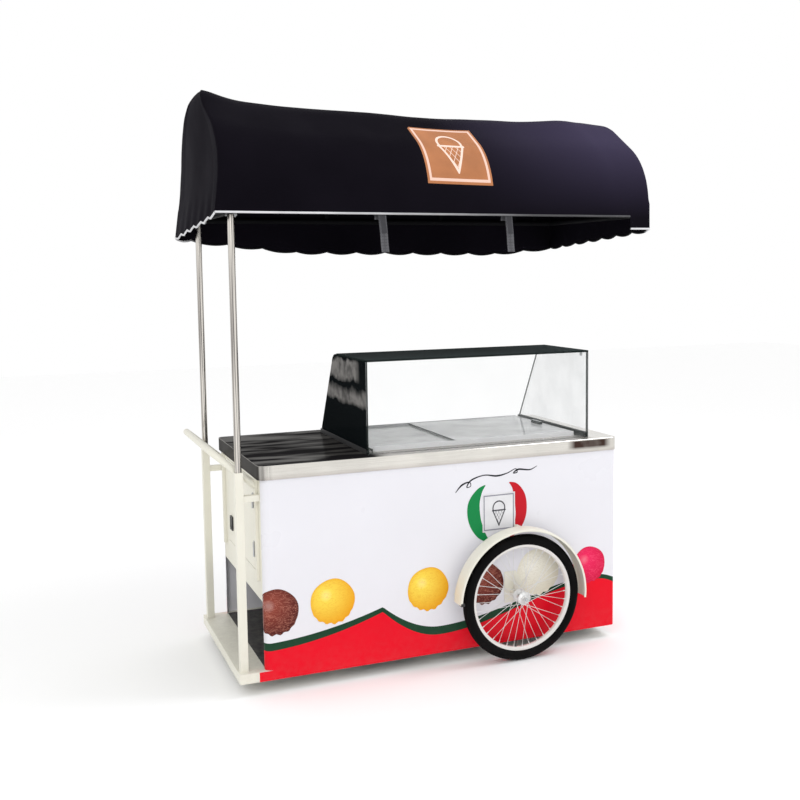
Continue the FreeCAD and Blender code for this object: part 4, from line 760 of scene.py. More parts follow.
FINISHES = [
    (IVORY, 0.0010, ["base_frame", "left_end_wall", "end_door", "posts", "handle_bars", "axle_supports"]),
    (IVORY, 0.0, ["push_handle"]),
    (WHITE_SHEET, 0.0006, ["near_side_panel", "far_side_panel", "right_end_panel"]),
    (BLACK_COAT, 0.0008, ["bay_floor", "storage_bay", "compressor", "fan_bracket"]),
    (STEEL_SHEET, 0.0008, ["well_liner", "pan_rack", "pans"]),
    (COUNTER_STEEL, 0.0008, ["countertop"]),
    (TUBE_STEEL, 0.0, ["post_tubes"]),
    (DARK_TUBE, 0.0, ["canopy_ring", "canopy_hoops"]),
    (ZINC, 0.0005, ["inner_frame", "rail_clamps", "wall_hinges", "door_hinges", "glass_clips", "axle",
                    "caster_plates", "caster_bolts", "near_caster_yoke", "far_caster_yoke"]),
    (POLISHED, 0.0007, ["axle_nuts"]),
    (ALUMINIUM, 0.0005, ["condenser"]),
    (BLACK_PLASTIC, 0.0006, ["latch_frame", "latch_paddle", "glass_sills"]),
    (WHITE_PLASTIC, 0.0005, ["lid_rails", "fan_blades"]),
    (FOAM, 0.001, ["well_foam"]),
    (GREY_RUBBER, 0.001, ["near_caster_wheel", "far_caster_wheel"]),
    (CLEAR_LID, 0.0006, ["lid_left", "lid_right"]),
    (GLASS_FRONT, 0.0006, ["glass_front"]),
    (GLASS_ENDS, 0.0006, ["glass_ends"]),
    (GLASS_ROOF, 0.0006, ["glass_roof"]),
]
for finish, edge_radius, names in FINISHES:
    for node_name in names:
        dress(node_name, finish, edge_radius)
print("dressed", sum(len(names) for _, _, names in FINISHES))

# %% [markdown]
# ## Tyres
# A tyre is a turned outline: round crown, narrower at the bead. Its rubber is black and dull,
# with grooves that run round it and fine cross cuts in the tread. The grooves are in the
# outline itself and the cross cuts in the surface relief, which is cheap and looks the same
# from a step away.

# %% Tyre rubber
TREAD_CUTS = 150.0


def tyre_rubber():
    """Dull black with fine cross cuts in the crown."""
    material, tree, face = new_material("tyre rubber", 0.62, specular=0.06)
    base = use_effect(tree, CLOUDY, Color=(0.0036, 0.0034, 0.0034), Amount=0.3, Scale=9.0)
    grey = use_effect(tree, DUST, Amount=0.10, Height=0.3)["Mask"]
    tone = blend_colours(tree, grey, base["Color"], (0.07, 0.066, 0.062))
    join(tree, tone, face.inputs["Base Color"])
    join(tree, ramp(tree, base["Mask"], 0.0, 1.0, 0.55, 0.72), face.inputs["Roughness"])
    at = split_axes(tree, coordinates(tree, "UV"))
    cuts = math_node(tree, "ABSOLUTE", math_node(tree, "SINE", times(tree, at["X"], TREAD_CUTS * math.pi)))
    crown = within(tree, at["Y"], 0.30, 0.36, 0.64, 0.70)
    height = times(tree, ramp(tree, cuts, 0.15, 0.35), crown)
    fine = fine_bump(tree, 600.0, 0.15)
    join(tree, bump_normal(tree, height, 0.5, 0.0012, Normal=fine), face.inputs["Normal"])
    return material


RUBBER = tyre_rubber()


print(RUBBER.name, int(TREAD_CUTS), "cuts")


# %% Tyres
def add_round_uv(piece, count):
    """UV with U round the wheel and V along the outline; points come in rings of count."""
    layer = piece.data.uv_layers.new(name="UVMap")
    rings = len(piece.data.vertices) // count
    for polygon in piece.data.polygons:
        last = max(vertex // count for vertex in polygon.vertices) == rings - 1
        for loop, vertex in zip(polygon.loop_indices, polygon.vertices):
            ring = vertex // count
            u = 1.0 if last and ring == 0 else ring / rings
            layer.data[loop].uv = (u, (vertex % count) / (count - 1))


TYRE_HALF = 0.024
RIM_SEAT = 0.231
TYRE_STEPS = 56
WHEEL_STEPS = 144


def tyre_outline():
    """Outline of (radius, y) from bead to bead, with three grooves round the crown."""
    middle = WHEEL_Z - TYRE_HALF
    first = math.acos((RIM_SEAT - middle) / TYRE_HALF)
    outline = []
    for i in range(TYRE_STEPS + 1):
        a = -first + 2.0 * first * i / TYRE_STEPS
        r = TYRE_HALF
        for groove in (-24.0, 0.0, 24.0):
            off = abs(math.degrees(a) - groove)
            if off < 4.0:
                r -= 0.0016 * (1.0 - off / 4.0) ** 0.5
        outline.append((middle + r * math.cos(a), r * math.sin(a)))
    return outline


def wheel_centre(side):
    """Middle of the near or far wheel."""
    return Vector((WHEEL_X, side * WHEEL_Y, WHEEL_Z))


def add_tyre(side, name):
    """One tyre in place of its solid."""
    outline = tyre_outline()
    points, faces = turned(outline, WHEEL_STEPS, wheel_centre(side))
    tyre = add_piece(name + "_tyre_rubber", points, faces, RUBBER, name + "_wheel")
    add_round_uv(tyre, len(outline))
    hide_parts(name + "_tyre")
    return tyre


for side, name in WHEELS:
    made = add_tyre(side, name)
    print(made.name, len(made.data.polygons), "faces")

# %% [markdown]
# ## Rims, hubs and spokes
# The rim is a rolled channel with a bright side wall. Each spoke starts at a hub flange and
# ends in a nipple at the rim. Spokes leave each flange by turns forward and back, so they
# cross, and this crossing is what lets a light wheel carry load. They follow the same count
# and angles as the solids.

# %% Rim
# Half of the rim's section as (radius, y), from the middle of the well out to the bright edge.
RIM_HALF = [(0.2172, 0.0030), (0.2180, 0.0065), (0.2200, 0.0095), (0.2240, 0.0125), (0.2310, 0.0135),
            (0.2352, 0.0135), (0.2362, 0.0128), (0.2352, 0.0119), (0.2330, 0.0110), (0.2300, 0.0060)]
RIM_COAT = coated("white rim coat", (0.76, 0.74, 0.71), 0.25, under=(0.5,) * 3, wear=0.2, dust=0.3)


def add_rim(side, name):
    """One rim in place of its solid."""
    outline = RIM_HALF + [(r, -y) for r, y in RIM_HALF[::-1]]
    points, faces = turned(outline, WHEEL_STEPS, wheel_centre(side))
    rim = add_piece(name + "_rim_channel", points, faces, RIM_COAT, name + "_wheel")
    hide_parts(name + "_rim")
    return rim


for side, name in WHEELS:
    print(add_rim(side, name).name)

# %% Hub, spokes and nipples
SPOKES = 36
CROSSING = math.radians(60.0)
FLANGE_Y = 0.023
FLANGE_R = 0.025
NIPPLE_R = 0.2180
SPOKE_R = 0.00115
# Half of the hub's outline as (radius, y), from the middle of the barrel past the flange to its end.
HUB_HALF = [(0.0125, 0.0120), (0.0165, 0.0200), (0.0285, 0.0213), (0.0292, 0.0220), (0.0292, 0.0240),
            (0.0285, 0.0247), (0.0130, 0.0265), (0.0150, 0.028), (0.0150, 0.0345), (0.0135, 0.036),
            (0.0081, 0.036)]


def spoke_line(i, centre):
    """Start at the flange and end at the rim of one spoke."""
    flange = -1 if i % 2 else 1
    lead = 1 if (i // 2) % 2 else -1
    at_rim = 2.0 * math.pi * i / SPOKES
    at_hub = at_rim + lead * CROSSING
    face = flange * FLANGE_Y + lead * 0.0028
    start = centre + Vector((FLANGE_R * math.cos(at_hub), face, FLANGE_R * math.sin(at_hub)))
    end = centre + Vector((NIPPLE_R * math.cos(at_rim), flange * 0.002, NIPPLE_R * math.sin(at_rim)))
    return start, end


def add_hub(side, name):
    """Hub, laced spokes and nipples of one wheel."""
    centre = wheel_centre(side)
    hub = [(r, -y) for r, y in HUB_HALF[::-1]] + [(0.0118, 0.0)] + HUB_HALF
    parts = [turned(hub, 48, centre)]
    pin = Vector((0, 0.0018, 0))
    for i in range(SPOKES):
        start, end = spoke_line(i, centre)
        along = (end - start).normalized()
        nipple = [end + along * step for step in (-0.012, -0.0115, -0.001, 0.001)]
        parts.append(swept([start - along * 0.0015, end], SPOKE_R, 8))
        parts.append(swept(nipple, [0.0014, 0.0021, 0.0023, 0.0030], 8))
        parts.append(swept([start - pin, start + pin], 0.0021, 8))
    wheel = add_piece(name + "_laced_hub", *gathered(parts), POLISHED, name + "_wheel")
    soften(wheel, 0.0003, 1, 50.0)
    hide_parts(name + "_hub_and_spokes")
    return wheel


for side, name in WHEELS:
    made = add_hub(side, name)
    print(made.name, SPOKES, "spokes")

# %% [markdown]
# ## The canopy cloth
# The cover is one cut of coated black cloth, stretched over the hoops, closed at both ends
# and hemmed in scallops. A simulation could drape it, but stretched cloth is nearly a known
# surface: it follows the hoops, sags a little between them, and puckers where it is fixed.
# It is therefore drawn as one surface from the hoops' own arch, which also fits the frame
# exactly and costs no time.

# %% Shape of the arch
SHOULDER = 0.050
SHOULDER_R = 0.300
SLOPE = math.radians(33.0)
RIDGE_R = 0.300
# How far the ridge stands over the plain arch, at places along the cover.
LIFTS = [(0.0, 0.066), (0.150, 0.030), (0.650, 0.006), (1.300, -0.004), (1.722, 0.013), (1.928, -0.004)]
# How far the left end leans in, at heights over the rail.
LEAN = [(-0.075, 0.0), (0.010, 0.012), (0.115, 0.026), (0.225, 0.032), (0.330, 0.027), (0.420, 0.018),
        (0.475, 0.024), (0.508, 0.048), (0.540, 0.090)]


def along_table(table, value):
    """Value between the entries of a table."""
    for (a, u), (b, w) in zip(table, table[1:]):
        if value <= b:
            share = min(1.0, max(0.0, (value - a) / (b - a)))
            return u + (w - u) * share
    return table[-1][1]


def smooth_table(table, value, reach):
    """A table's value averaged over a short reach."""
    return sum(along_table(table, value + reach * k / 4.0) for k in range(-4, 5)) / 9.0


TURN = math.pi / 2.0 - SLOPE
SHOULDER_Y = CLOTH_HALF - SHOULDER_R + SHOULDER_R * math.cos(TURN)
SHOULDER_Z = SHOULDER_R * math.sin(TURN)
RIDGE_Y = RIDGE_R * math.sin(SLOPE)
RIDGE_Z = SHOULDER_Z + (SHOULDER_Y - RIDGE_Y) * math.tan(SLOPE)
ARCH_LENGTHS = (SHOULDER_R * TURN, (SHOULDER_Y - RIDGE_Y) / math.cos(SLOPE), RIDGE_R * SLOPE)


def arch_point(share, x):
    """Point (y, z) of the half arch: share 0 is the shoulder's foot, share 1 the ridge."""
    along = share * sum(ARCH_LENGTHS)
    base = RAIL_Z + SHOULDER + smooth_table(LIFTS, x - CLOTH_X0, 0.05)
    if along <= ARCH_LENGTHS[0]:
        a = along / SHOULDER_R
        return CLOTH_HALF - SHOULDER_R + SHOULDER_R * math.cos(a), base + SHOULDER_R * math.sin(a)
    along -= ARCH_LENGTHS[0]
    if along <= ARCH_LENGTHS[1]:
        return SHOULDER_Y - along * math.cos(SLOPE), base + SHOULDER_Z + along * math.sin(SLOPE)
    a = SLOPE - (along - ARCH_LENGTHS[1]) / RIDGE_R
    return RIDGE_R * math.sin(a), base + RIDGE_Z + RIDGE_R * (math.cos(a) - math.cos(SLOPE))


print("arch above the shoulders", round(2.0 * sum(ARCH_LENGTHS), 3), "m")

# %% Hems
FLAP_X = CLOTH_X1 - 0.098
FAR_HEM = [(-0.010, 0.076), (0.070, 0.088), (0.560, 0.140), (1.600, 0.150), (1.938, 0.122)]
FAR_COUNTS = [1, 3, 7, 2]
LEFT_COUNT, RIGHT_COUNT = 6, 7
SCALLOP = 0.012


def scallop(share, count):
    """Depth of a hem of round tongues at a share of its length."""
    return SCALLOP * abs(math.sin(math.pi * count * share)) ** 0.8


def near_hem(x):
    """Drop of the near hem: straight to the flap, then low."""
    return 0.064 if x > FLAP_X else 0.010


def far_hem(x):
    """Drop of the far hem, whose tongues are wider in the middle."""
    d = x - CLOTH_X0
    for (a, u), (b, w), count in zip(FAR_HEM, FAR_HEM[1:], FAR_COUNTS):
        if d <= b:
            share = (d - a) / (b - a)
            return u + (w - u) * share + scallop(share, count)
    return FAR_HEM[-1][1]


def left_hem(share):
    """Drop of the left end's hem, from near to far."""
    return 0.012 + 0.064 * share + scallop(share, LEFT_COUNT)


def right_hem(share):
    """Drop of the right end's hem, from near to far."""
    return 0.064 + 0.058 * share + scallop(share, RIGHT_COUNT)


print("far hem hangs", round(far_hem(0.0), 3), "m below the rail")

# %% Cloth surface
SIDE_ROWS = 8
ARCH_ROWS = 30
CLOTH_STEPS = 150
END_STEPS = 96
ROW_HEIGHT = 0.022


def sag(x):
    """How far the cloth hangs in between two hoops."""
    for a, b in zip(HOOPS, HOOPS[1:]):
        if a <= x <= b:
            return math.sin(math.pi * (x - a) / (b - a)) ** 2 * min(0.007, 0.016 * (b - a))
    return 0.0


def pucker(x, y, z, near_edge):
    """Small folds, stronger by the hems and the ends."""
    p = Vector((x * 2.2, y * 3.4, z * 3.0))
    broad = noise.noise(p) * 0.0022
    drawn = noise.noise(Vector((x * 9.0, z * 1.6, y * 1.6 + 5.0))) * 0.0016
    return broad + drawn * (0.5 + near_edge)


def left_edge(z):
    """X of the left end at a height."""
    return CLOTH_X0 + smooth_table(LEAN, z - RAIL_Z, 0.012)


def cloth_row(side, k, x):
    """Point of the side or arch at row k of 0 (hem) to SIDE_ROWS + ARCH_ROWS (ridge)."""
    hem = near_hem(x) if side < 0 else far_hem(x)
    top = arch_point(0.0, x)[1]
    if k <= SIDE_ROWS:
        share = k / SIDE_ROWS
        z = RAIL_Z - hem + (top - RAIL_Z + hem) * share
        return side * CLOTH_HALF, z
    y, z = arch_point((k - SIDE_ROWS) / ARCH_ROWS, x)
    return side * y, z


def share_of(x):
    """A place along the cover as a share of its length."""
    return (x - CLOTH_X0) / CLOTH_LENGTH


def cloth_columns():
    """Shares along the cover, with a pair at the cut of the near flap."""
    shares = {i / CLOTH_STEPS for i in range(CLOTH_STEPS + 1)}
    return sorted(shares | {share_of(FLAP_X - 0.0006), share_of(FLAP_X + 0.0006)})


def top_point(side, k, share):
    """One point of the long surface, with its sag and folds."""
    rough_x = CLOTH_X0 + share * CLOTH_LENGTH
    y, z = cloth_row(side, k, rough_x)
    x = rough_x + (left_edge(z) - CLOTH_X0) * (1.0 - share) ** 6
    height = min(1.0, k / (SIDE_ROWS + 6.0))
    inward = sag(x) * height
    fold = pucker(x, y, z, 1.0 - height)
    centre = Vector((x, 0.0, RAIL_Z + 0.10))
    out = (Vector((x, y, z)) - centre).normalized()
    if k < SIDE_ROWS:
        ripple = 0.0035 * (1.0 - k / SIDE_ROWS) * math.sin(x * 34.0 + (0.7 if side > 0 else 0.0))
        out = Vector((0.0, side, 0.0))
        fold += ripple if side > 0 else 0.35 * ripple
    return Vector((x, y, z)) + out * (fold - inward)


def end_point(end, k, share):
    """One point of an end wall; share runs from the near to the far side."""
    x_at = CLOTH_X0 if end < 0 else CLOTH_X1
    near = top_point(-1, k, 0.0 if end < 0 else 1.0)
    far = top_point(1, k, 0.0 if end < 0 else 1.0)
    point = near.lerp(far, share)
    if k <= SIDE_ROWS:
        hem = left_hem(share) if end < 0 else right_hem(share)
        top = arch_point(0.0, x_at)[1]
        point.z = RAIL_Z - hem + (top - RAIL_Z + hem) * k / SIDE_ROWS
    if end < 0:
        point.x = left_edge(point.z)
    border = min(share, 1.0 - share)
    loose = min(1.0, border * 8.0)
    ripple = 0.0026 * math.sin(share * 38.0) * max(0.0, 1.0 - k / SIDE_ROWS)
    point.x += end * loose * (ripple + pucker(point.x, point.y, point.z, 0.6) - 0.004 * loose)
    return point


def build_cloth():
    """Points, faces and UVs of the long surface and both ends."""
    points, uvs = [], []
    shares = cloth_columns()
    rows = SIDE_ROWS + ARCH_ROWS
    order = [(-1, k) for k in range(rows + 1)] + [(1, k) for k in range(rows - 1, -1, -1)]
    for share in shares:
        for n, (side, k) in enumerate(order):
            points.append(top_point(side, k, share))
            uvs.append((share * 1.93, n * ROW_HEIGHT))
    faces = grid_faces(len(shares), len(order))
    for end in (-1, 1):
        first = len(points)
        for k in range(rows + 1):
            for c in range(END_STEPS + 1):
                points.append(end_point(end, k, c / END_STEPS))
                uvs.append((c * 0.89 / END_STEPS, k * ROW_HEIGHT + 3.0))
        faces += grid_faces(rows + 1, END_STEPS + 1, first=first, flip=end > 0)
    return points, faces, uvs


cloth_points, cloth_faces, cloth_uvs = build_cloth()
print("cloth", len(cloth_points), "points")

# %% [markdown]
# ## Black cloth finish
# Coated awning cloth is nearly black, with a dull sheen; a violet sheen is painted into its colour on the
# upper near slope towards the right. The threads are far too small to model, so the weave effect gives them
# as relief from the cloth's own UV, and dust pales the upper folds a little.

# %% Cloth finish
CLOTH_COLOUR = (0.0062, 0.0052, 0.0082)
CLOTH_THICK = 0.0012
SEAM_REACH = 0.030


def awning_cloth():
    """Nearly black cloth with a dull sheen, and a violet sheen painted into its colour on the upper near
    slope towards the right.
    """
    material, tree, face = new_material("black awning cloth", 0.62, specular=0.008)
    face.inputs["Sheen Weight"].default_value = 0.008
    face.inputs["Sheen Roughness"].default_value = 0.38
    face.inputs["Sheen Tint"].default_value = (0.50, 0.44, 0.78, 1.0)
    base = use_effect(tree, CLOUDY, Color=CLOTH_COLOUR, Amount=0.35, Scale=2.0)
    woven = use_effect(tree, WEAVE, Threads=3200.0, Strength=0.18)
    tone = blend_colours(tree, times(tree, woven["Mask"], 0.25), base["Color"],
                         tuple(1.8 * c for c in CLOTH_COLOUR))
    grey = use_effect(tree, DUST, Amount=0.03, Height=0.1)["Mask"]
    tone = blend_colours(tree, grey, tone, (0.06, 0.055, 0.07))
    at = split_axes(tree, coordinates(tree, "Object"))
    # Painted sheen: the upper near slope turns violet towards the right end.
    painted_violet_sheen = times(tree, ramp(tree, at["X"], 0.05, 0.80), ramp(tree, at["Z"], 1.90, 2.26))
    painted_violet_sheen = times(tree, painted_violet_sheen, ramp(tree, at["Y"], 0.10, -0.15))
    tone = blend_colours(tree, painted_violet_sheen, tone, (0.040, 0.033, 0.064))
    join(tree, tone, face.inputs["Base Color"])
    join(tree, ramp(tree, base["Mask"], 0.0, 1.0, 0.55, 0.70), face.inputs["Roughness"])
    join(tree, woven["Normal"], face.inputs["Normal"])
    return material


def add_cloth():
    """The cover as one sheet, with its ends sewn on."""
    cover = add_piece("canopy_cloth", cloth_points, cloth_faces, awning_cloth())
    set_uv(cover, cloth_uvs)
    weld = cover.modifiers.new("sew the ends on", "WELD")
    weld.merge_threshold = 0.003
    corner = cover.vertex_groups.new(name="corner")
    for vertex in cover.data.vertices:
        p = vertex.co
        off = min(abs(p.x - left_edge(p.z)), abs(p.x - CLOTH_X1))
        if off < SEAM_REACH and p.z > RAIL_Z + SHOULDER:
            corner.add([vertex.index], 1.0 - off / SEAM_REACH, "REPLACE")
    ease = cover.modifiers.new("round the seams", "SMOOTH")
    ease.vertex_group = "corner"
    ease.factor = 0.5
    ease.iterations = 6
    thick = cover.modifiers.new("cloth thickness", "SOLIDIFY")
    thick.thickness = CLOTH_THICK
    thick.offset = -1.0
    thick.use_even_offset = False
    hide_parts("canopy_cover")
    return cover


CLOTH = add_cloth()
print(CLOTH.name, len(CLOTH.data.polygons), "faces")

# %% [markdown]
# ## Bindings, straps and the sewn patch
# The raw hem is folded into a narrow tape, which is white at the open left end. Two webbing
# straps with a hook-and-loop face go round the rail and hold the cloth down. The patch is sewn
# on the slope, so it follows the same arch one cloth thickness further out.

# %% Hem tape
def tape_cloth():
    """Tape that is white at the left end and on the flap, and dark elsewhere; along the near rail a painted
    shade fades it from white near the left to dark past the middle.
    """
    material, tree, face = new_material("hem tape", 0.75, specular=0.2)
    at = split_axes(tree, coordinates(tree, "Object"))
    left = ramp(tree, at["X"], -0.86, -0.91)
    near = ramp(tree, at["Y"], -0.41, -0.43)
    # Painted shade: along the near rail the white fades to dark past the middle.
    along = ramp(tree, at["X"], 0.40, -0.60, 0.10, 1.0)
    flap = ramp(tree, at["X"], 0.872, 0.880)
    pale = most(tree, left, times(tree, near, most(tree, along, flap)))
    tone = blend_colours(tree, pale, (0.010, 0.010, 0.012), (0.72, 0.72, 0.74))
    mixed = use_effect(tree, CLOUDY, Color=tone, Amount=0.15, Scale=12.0)
    join(tree, mixed["Color"], face.inputs["Base Color"])
    join(tree, fine_bump(tree, 900.0, 0.3), face.inputs["Normal"])
    return material


HEM_TAPE = tape_cloth()
# Section of the folded tape as (out from the hem, up).
TAPE = [(0.0022, 0.0065), (0.0030, 0.0030), (0.0024, -0.0010), (-0.0016, -0.0014), (-0.0028, 0.0010),
        (-0.0022, 0.0070)]


def binding(name, path, outward):
    """Tape folded over a hem: path is the cloth's edge, outward the way out at each point."""
    points = []
    for here, out in zip(path, outward):
        for across, up in TAPE:
            points.append(here + out * across + Vector((0.0, 0.0, up)))
    faces = grid_faces(len(path), len(TAPE), ring=True)
    faces.append(tuple(range(len(TAPE)))[::-1])
    faces.append(tuple((len(path) - 1) * len(TAPE) + c for c in range(len(TAPE))))
    tape = add_piece(name, points, faces, HEM_TAPE)
    return tape


def level_outward(path, side):
    """Level direction away from the cover at each point of a hem."""
    result = []
    for i in range(len(path)):
        along = path[min(i + 1, len(path) - 1)] - path[max(i - 1, 0)]
        along.z = 0.0
        result.append(Vector((along.y, -along.x, 0.0)).normalized() * side)
    return result


def hem_paths():
    """The edge of the cloth under each tape, and the side that is out."""
    shares = [i / 480.0 for i in range(481)]
    cut = share_of(FLAP_X)
    rail_part = [top_point(-1, 0, s) for s in shares if s < cut - 0.0004]
    flap_part = [top_point(-1, 0, s) for s in shares if s > cut + 0.0004]
    far = [top_point(1, 0, s) for s in shares]
    left = [end_point(-1, 0, i / 160.0) for i in range(161)]
    right = [end_point(1, 0, i / 160.0) for i in range(161)]
    return {"rail_hem_tape": (rail_part, 1), "flap_hem_tape": (flap_part, 1), "far_hem_tape": (far, -1),
            "left_hem_tape": (left, -1), "right_hem_tape": (right, 1)}


for tape_name, (path, side) in hem_paths().items():
    binding(tape_name, path, level_outward(path, side))

# %% Straps round the rail
def webbing(name, colour, threads):
    """Coarse woven strap with a dashed row of stitches along each edge."""
    material, tree, face = new_material(name, 0.85, specular=0.15)
    woven = use_effect(tree, WEAVE, Threads=threads, Strength=0.8)
    base = use_effect(tree, CLOUDY, Color=colour, Amount=0.3, Scale=30.0)
    threads_seen = times(tree, woven["Mask"], 0.5)
    tone = blend_colours(tree, threads_seen, base["Color"], tuple(1.7 * c for c in colour))
    at = split_axes(tree, coordinates(tree, "UV"))
    line = math_node(tree, "COMPARE", math_node(tree, "ABSOLUTE", at["X"]), 0.0120, 0.0007)
    dash = math_node(tree, "GREATER_THAN", math_node(tree, "SINE", times(tree, at["Y"], 1400.0)), -0.2)
    tone = blend_colours(tree, times(tree, line, dash), tone, tuple(3.0 * c for c in colour))
    join(tree, tone, face.inputs["Base Color"])
    join(tree, woven["Normal"], face.inputs["Normal"])
    return material


GREY_WEB = webbing("grey webbing", (0.085, 0.085, 0.092), 260.0)
LOOP_FACE = webbing("hook and loop", (0.050, 0.050, 0.055), 900.0)


def strip(line, width, thick, lean=0.0):
    """A flat strap: line is (y, z) points, width lies along X about 0, and lean moves it along X."""
    points, uvs = [], []
    run = 0.0
    for i, (y, z) in enumerate(line):
        before, after = line[max(i - 1, 0)], line[min(i + 1, len(line) - 1)]
        along = Vector((0.0, after[0] - before[0], after[1] - before[1])).normalized()
        out = Vector((0.0, along.z, -along.y))
        run += math.dist(line[i], line[max(i - 1, 0)])
        shift = lean * i / (len(line) - 1)
        for x, t in ((-0.5, 0.5), (0.5, 0.5), (0.5, -0.5), (-0.5, -0.5)):
            points.append(Vector((shift + x * width, y, z)) + out * (t * thick))
            uvs.append((x * width, run))
    faces = grid_faces(len(line), 4, ring=True)
    faces.append((3, 2, 1, 0))
    faces.append(tuple(len(points) - 4 + c for c in range(4)))
    return points, faces, uvs


RING_Y = -0.4246
RING_WRAP = 0.0134
STRAP_HANGS = 0.160


def strap_line():
    """Round the rail from inside, over it and down outside."""
    line = [(RING_Y + RING_WRAP - 0.0008, RAIL_Z - 0.030 + 0.006 * i) for i in range(5)]
    for i in range(17):
        a = math.pi * i / 16.0
        line.append((RING_Y + RING_WRAP * math.cos(a), RAIL_Z + RING_WRAP * math.sin(a)))
    for i in range(1, 41):
        down = STRAP_HANGS * i / 40.0
        wave = 0.0010 * math.sin(down * 60.0) * min(1.0, down * 20.0)
        line.append((RING_Y - RING_WRAP + wave, RAIL_Z - down))
    return line


def put_strap(x, name):
    """The strap and, sewn on its outside, the hook-and-loop face."""
    line = strap_line()
    face = [(y - 0.0016, z) for y, z in line if y < RING_Y and RAIL_Z - 0.088 < z < RAIL_Z - 0.006]
    made = []
    for label, course, width, thick, lean, shift, material in (
            ("strap", line, 0.033, 0.0014, 0.020, 0.0, GREY_WEB),
            ("loop_face", face, 0.027, 0.0018, 0.009, 0.007, LOOP_FACE)):
        points, faces, uvs = strip(course, width, thick, lean)
        moved = [p + Vector((x + shift, 0.0, 0.0)) for p in points]
        piece = add_piece(name + "_" + label, moved, faces, material, smooth=False)
        set_uv(piece, uvs)
        soften(piece, 0.0005, 2, 50.0)
        made.append(piece)
    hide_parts("canopy_straps")
    return made


STRAPS = put_strap(-0.287, "left") + put_strap(0.275, "right")
print("straps", [piece.name for piece in STRAPS])

# %% Drawing for the patch and the badge
def distance(tree, a, b):
    """Length of the vector (a, b)."""
    return math_node(tree, "SQRT", math_node(tree, "ADD", times(tree, a, a), times(tree, b, b)))


def emblem_group():
    """A cone with one scoop in a thin frame, drawn from UV between -1 and 1."""
    group, given, out = effect("cone drawing", [("Thickness", "Float", 0.035)],
                               [("Frame", "Float"), ("Lines", "Float")])
    place = split_axes(group, coordinates(group, "UV"))
    u, v = place["X"], place["Y"]
    wide = math_node(group, "ABSOLUTE", u)
    tall = math_node(group, "ABSOLUTE", v)
    outer = most(group, wide, tall)
    frame_line = math_node(group, "COMPARE", outer, 0.90, 0.035)
    far = distance(group, u, math_node(group, "SUBTRACT", v, 0.22))
    scoop = math_node(group, "COMPARE", far, 0.36, given["Thickness"])
    scoop = times(group, scoop, math_node(group, "GREATER_THAN", v, 0.10))
    slant = times(group, math_node(group, "ADD", v, 0.70), 0.46)
    side = math_node(group, "COMPARE", wide, slant, given["Thickness"])
    inside = times(group, math_node(group, "LESS_THAN", v, 0.10),
                   math_node(group, "GREATER_THAN", v, -0.74))
    rim = times(group, math_node(group, "COMPARE", v, 0.10, given["Thickness"]),
                    math_node(group, "LESS_THAN", wide, 0.42))
    crossed = []
    for sign in (1.0, -1.0):
        leaning = math_node(group, "ADD", times(group, u, 1.6 * sign), v)
        wave = math_node(group, "ABSOLUTE", math_node(group, "SINE", times(group, leaning, 11.0)))
        crossed.append(math_node(group, "LESS_THAN", wave, 0.16))
    waffle = times(group, most(group, crossed[0], crossed[1]),
                       math_node(group, "LESS_THAN", wide, slant))
    cone = times(group, most(group, side, waffle), inside)
    lines = most(group, most(group, cone, rim), scoop)
    group.links.new(frame_line, out.inputs["Frame"])
    group.links.new(lines, out.inputs["Lines"])
    return group


EMBLEM = emblem_group()


def emblem_sheet(name, ground, frame_colour, line_colour, roughness, relief):
    """The cone drawing on cloth or film; relief is the scale and strength of its surface."""
    material, tree, face = new_material(name, roughness, specular=0.25)
    drawn = use_effect(tree, EMBLEM, Thickness=0.035)
    base = use_effect(tree, CLOUDY, Color=ground, Amount=0.18, Scale=9.0)
    tone = blend_colours(tree, drawn["Frame"], base["Color"], frame_colour)
    tone = blend_colours(tree, drawn["Lines"], tone, line_colour)
    join(tree, tone, face.inputs["Base Color"])
    join(tree, fine_bump(tree, *relief), face.inputs["Normal"])
    return material


COPPER_PATCH = emblem_sheet("copper patch", (0.46, 0.175, 0.065), (0.80, 0.55, 0.45), (0.86, 0.66, 0.56),
                            0.6, (1400.0, 0.35))
BADGE_SHEET = emblem_sheet("badge sheet", (0.80, 0.80, 0.82), (0.28, 0.28, 0.32), (0.05, 0.05, 0.06),
                           0.35, (300.0, 0.05))
print("drawings on", COPPER_PATCH.name, "and", BADGE_SHEET.name)

# %% Patch on the slope
PATCH_GRID = (24, 28)
PATCH_ROWS = (SIDE_ROWS + 0.10 * ARCH_ROWS, SIDE_ROWS + 0.66 * ARCH_ROWS)
PATCH_X = (-0.080, 0.212)
PATCH_UP = 0.0022


def cloth_at(side, k, share):
    """Point of the long surface and the direction out of it."""
    here = top_point(side, k, share)
    along = top_point(side, k, share + 0.002) - top_point(side, k, share - 0.002)
    up = top_point(side, k + 0.2, share) - top_point(side, k - 0.2, share)
    out = along.cross(up).normalized()
    return here, out if out.y * side > 0.0 else -out


def add_patch():
    """A grid that lies on the slope; its outermost points lie lower, where the seam pulls it down."""
    rows, columns = PATCH_GRID
    first, last = (share_of(x) for x in PATCH_X)
    points, uvs = [], []
    for r in range(rows + 1):
        k = PATCH_ROWS[0] + (PATCH_ROWS[1] - PATCH_ROWS[0]) * r / rows
        for c in range(columns + 1):
            here, out = cloth_at(-1, k, first + (last - first) * c / columns)
            inside = min(r, rows - r, c, columns - c) > 0
            points.append(here + out * (PATCH_UP if inside else 0.0012))
            uvs.append((2.0 * c / columns - 1.0, 2.0 * r / rows - 1.0))
    patch = add_piece("sewn_patch", points, grid_faces(rows + 1, columns + 1), COPPER_PATCH)
    set_uv(patch, uvs)
    return patch


PATCH = add_patch()
print("patch", tuple(round(v, 3) for v in PATCH.dimensions))

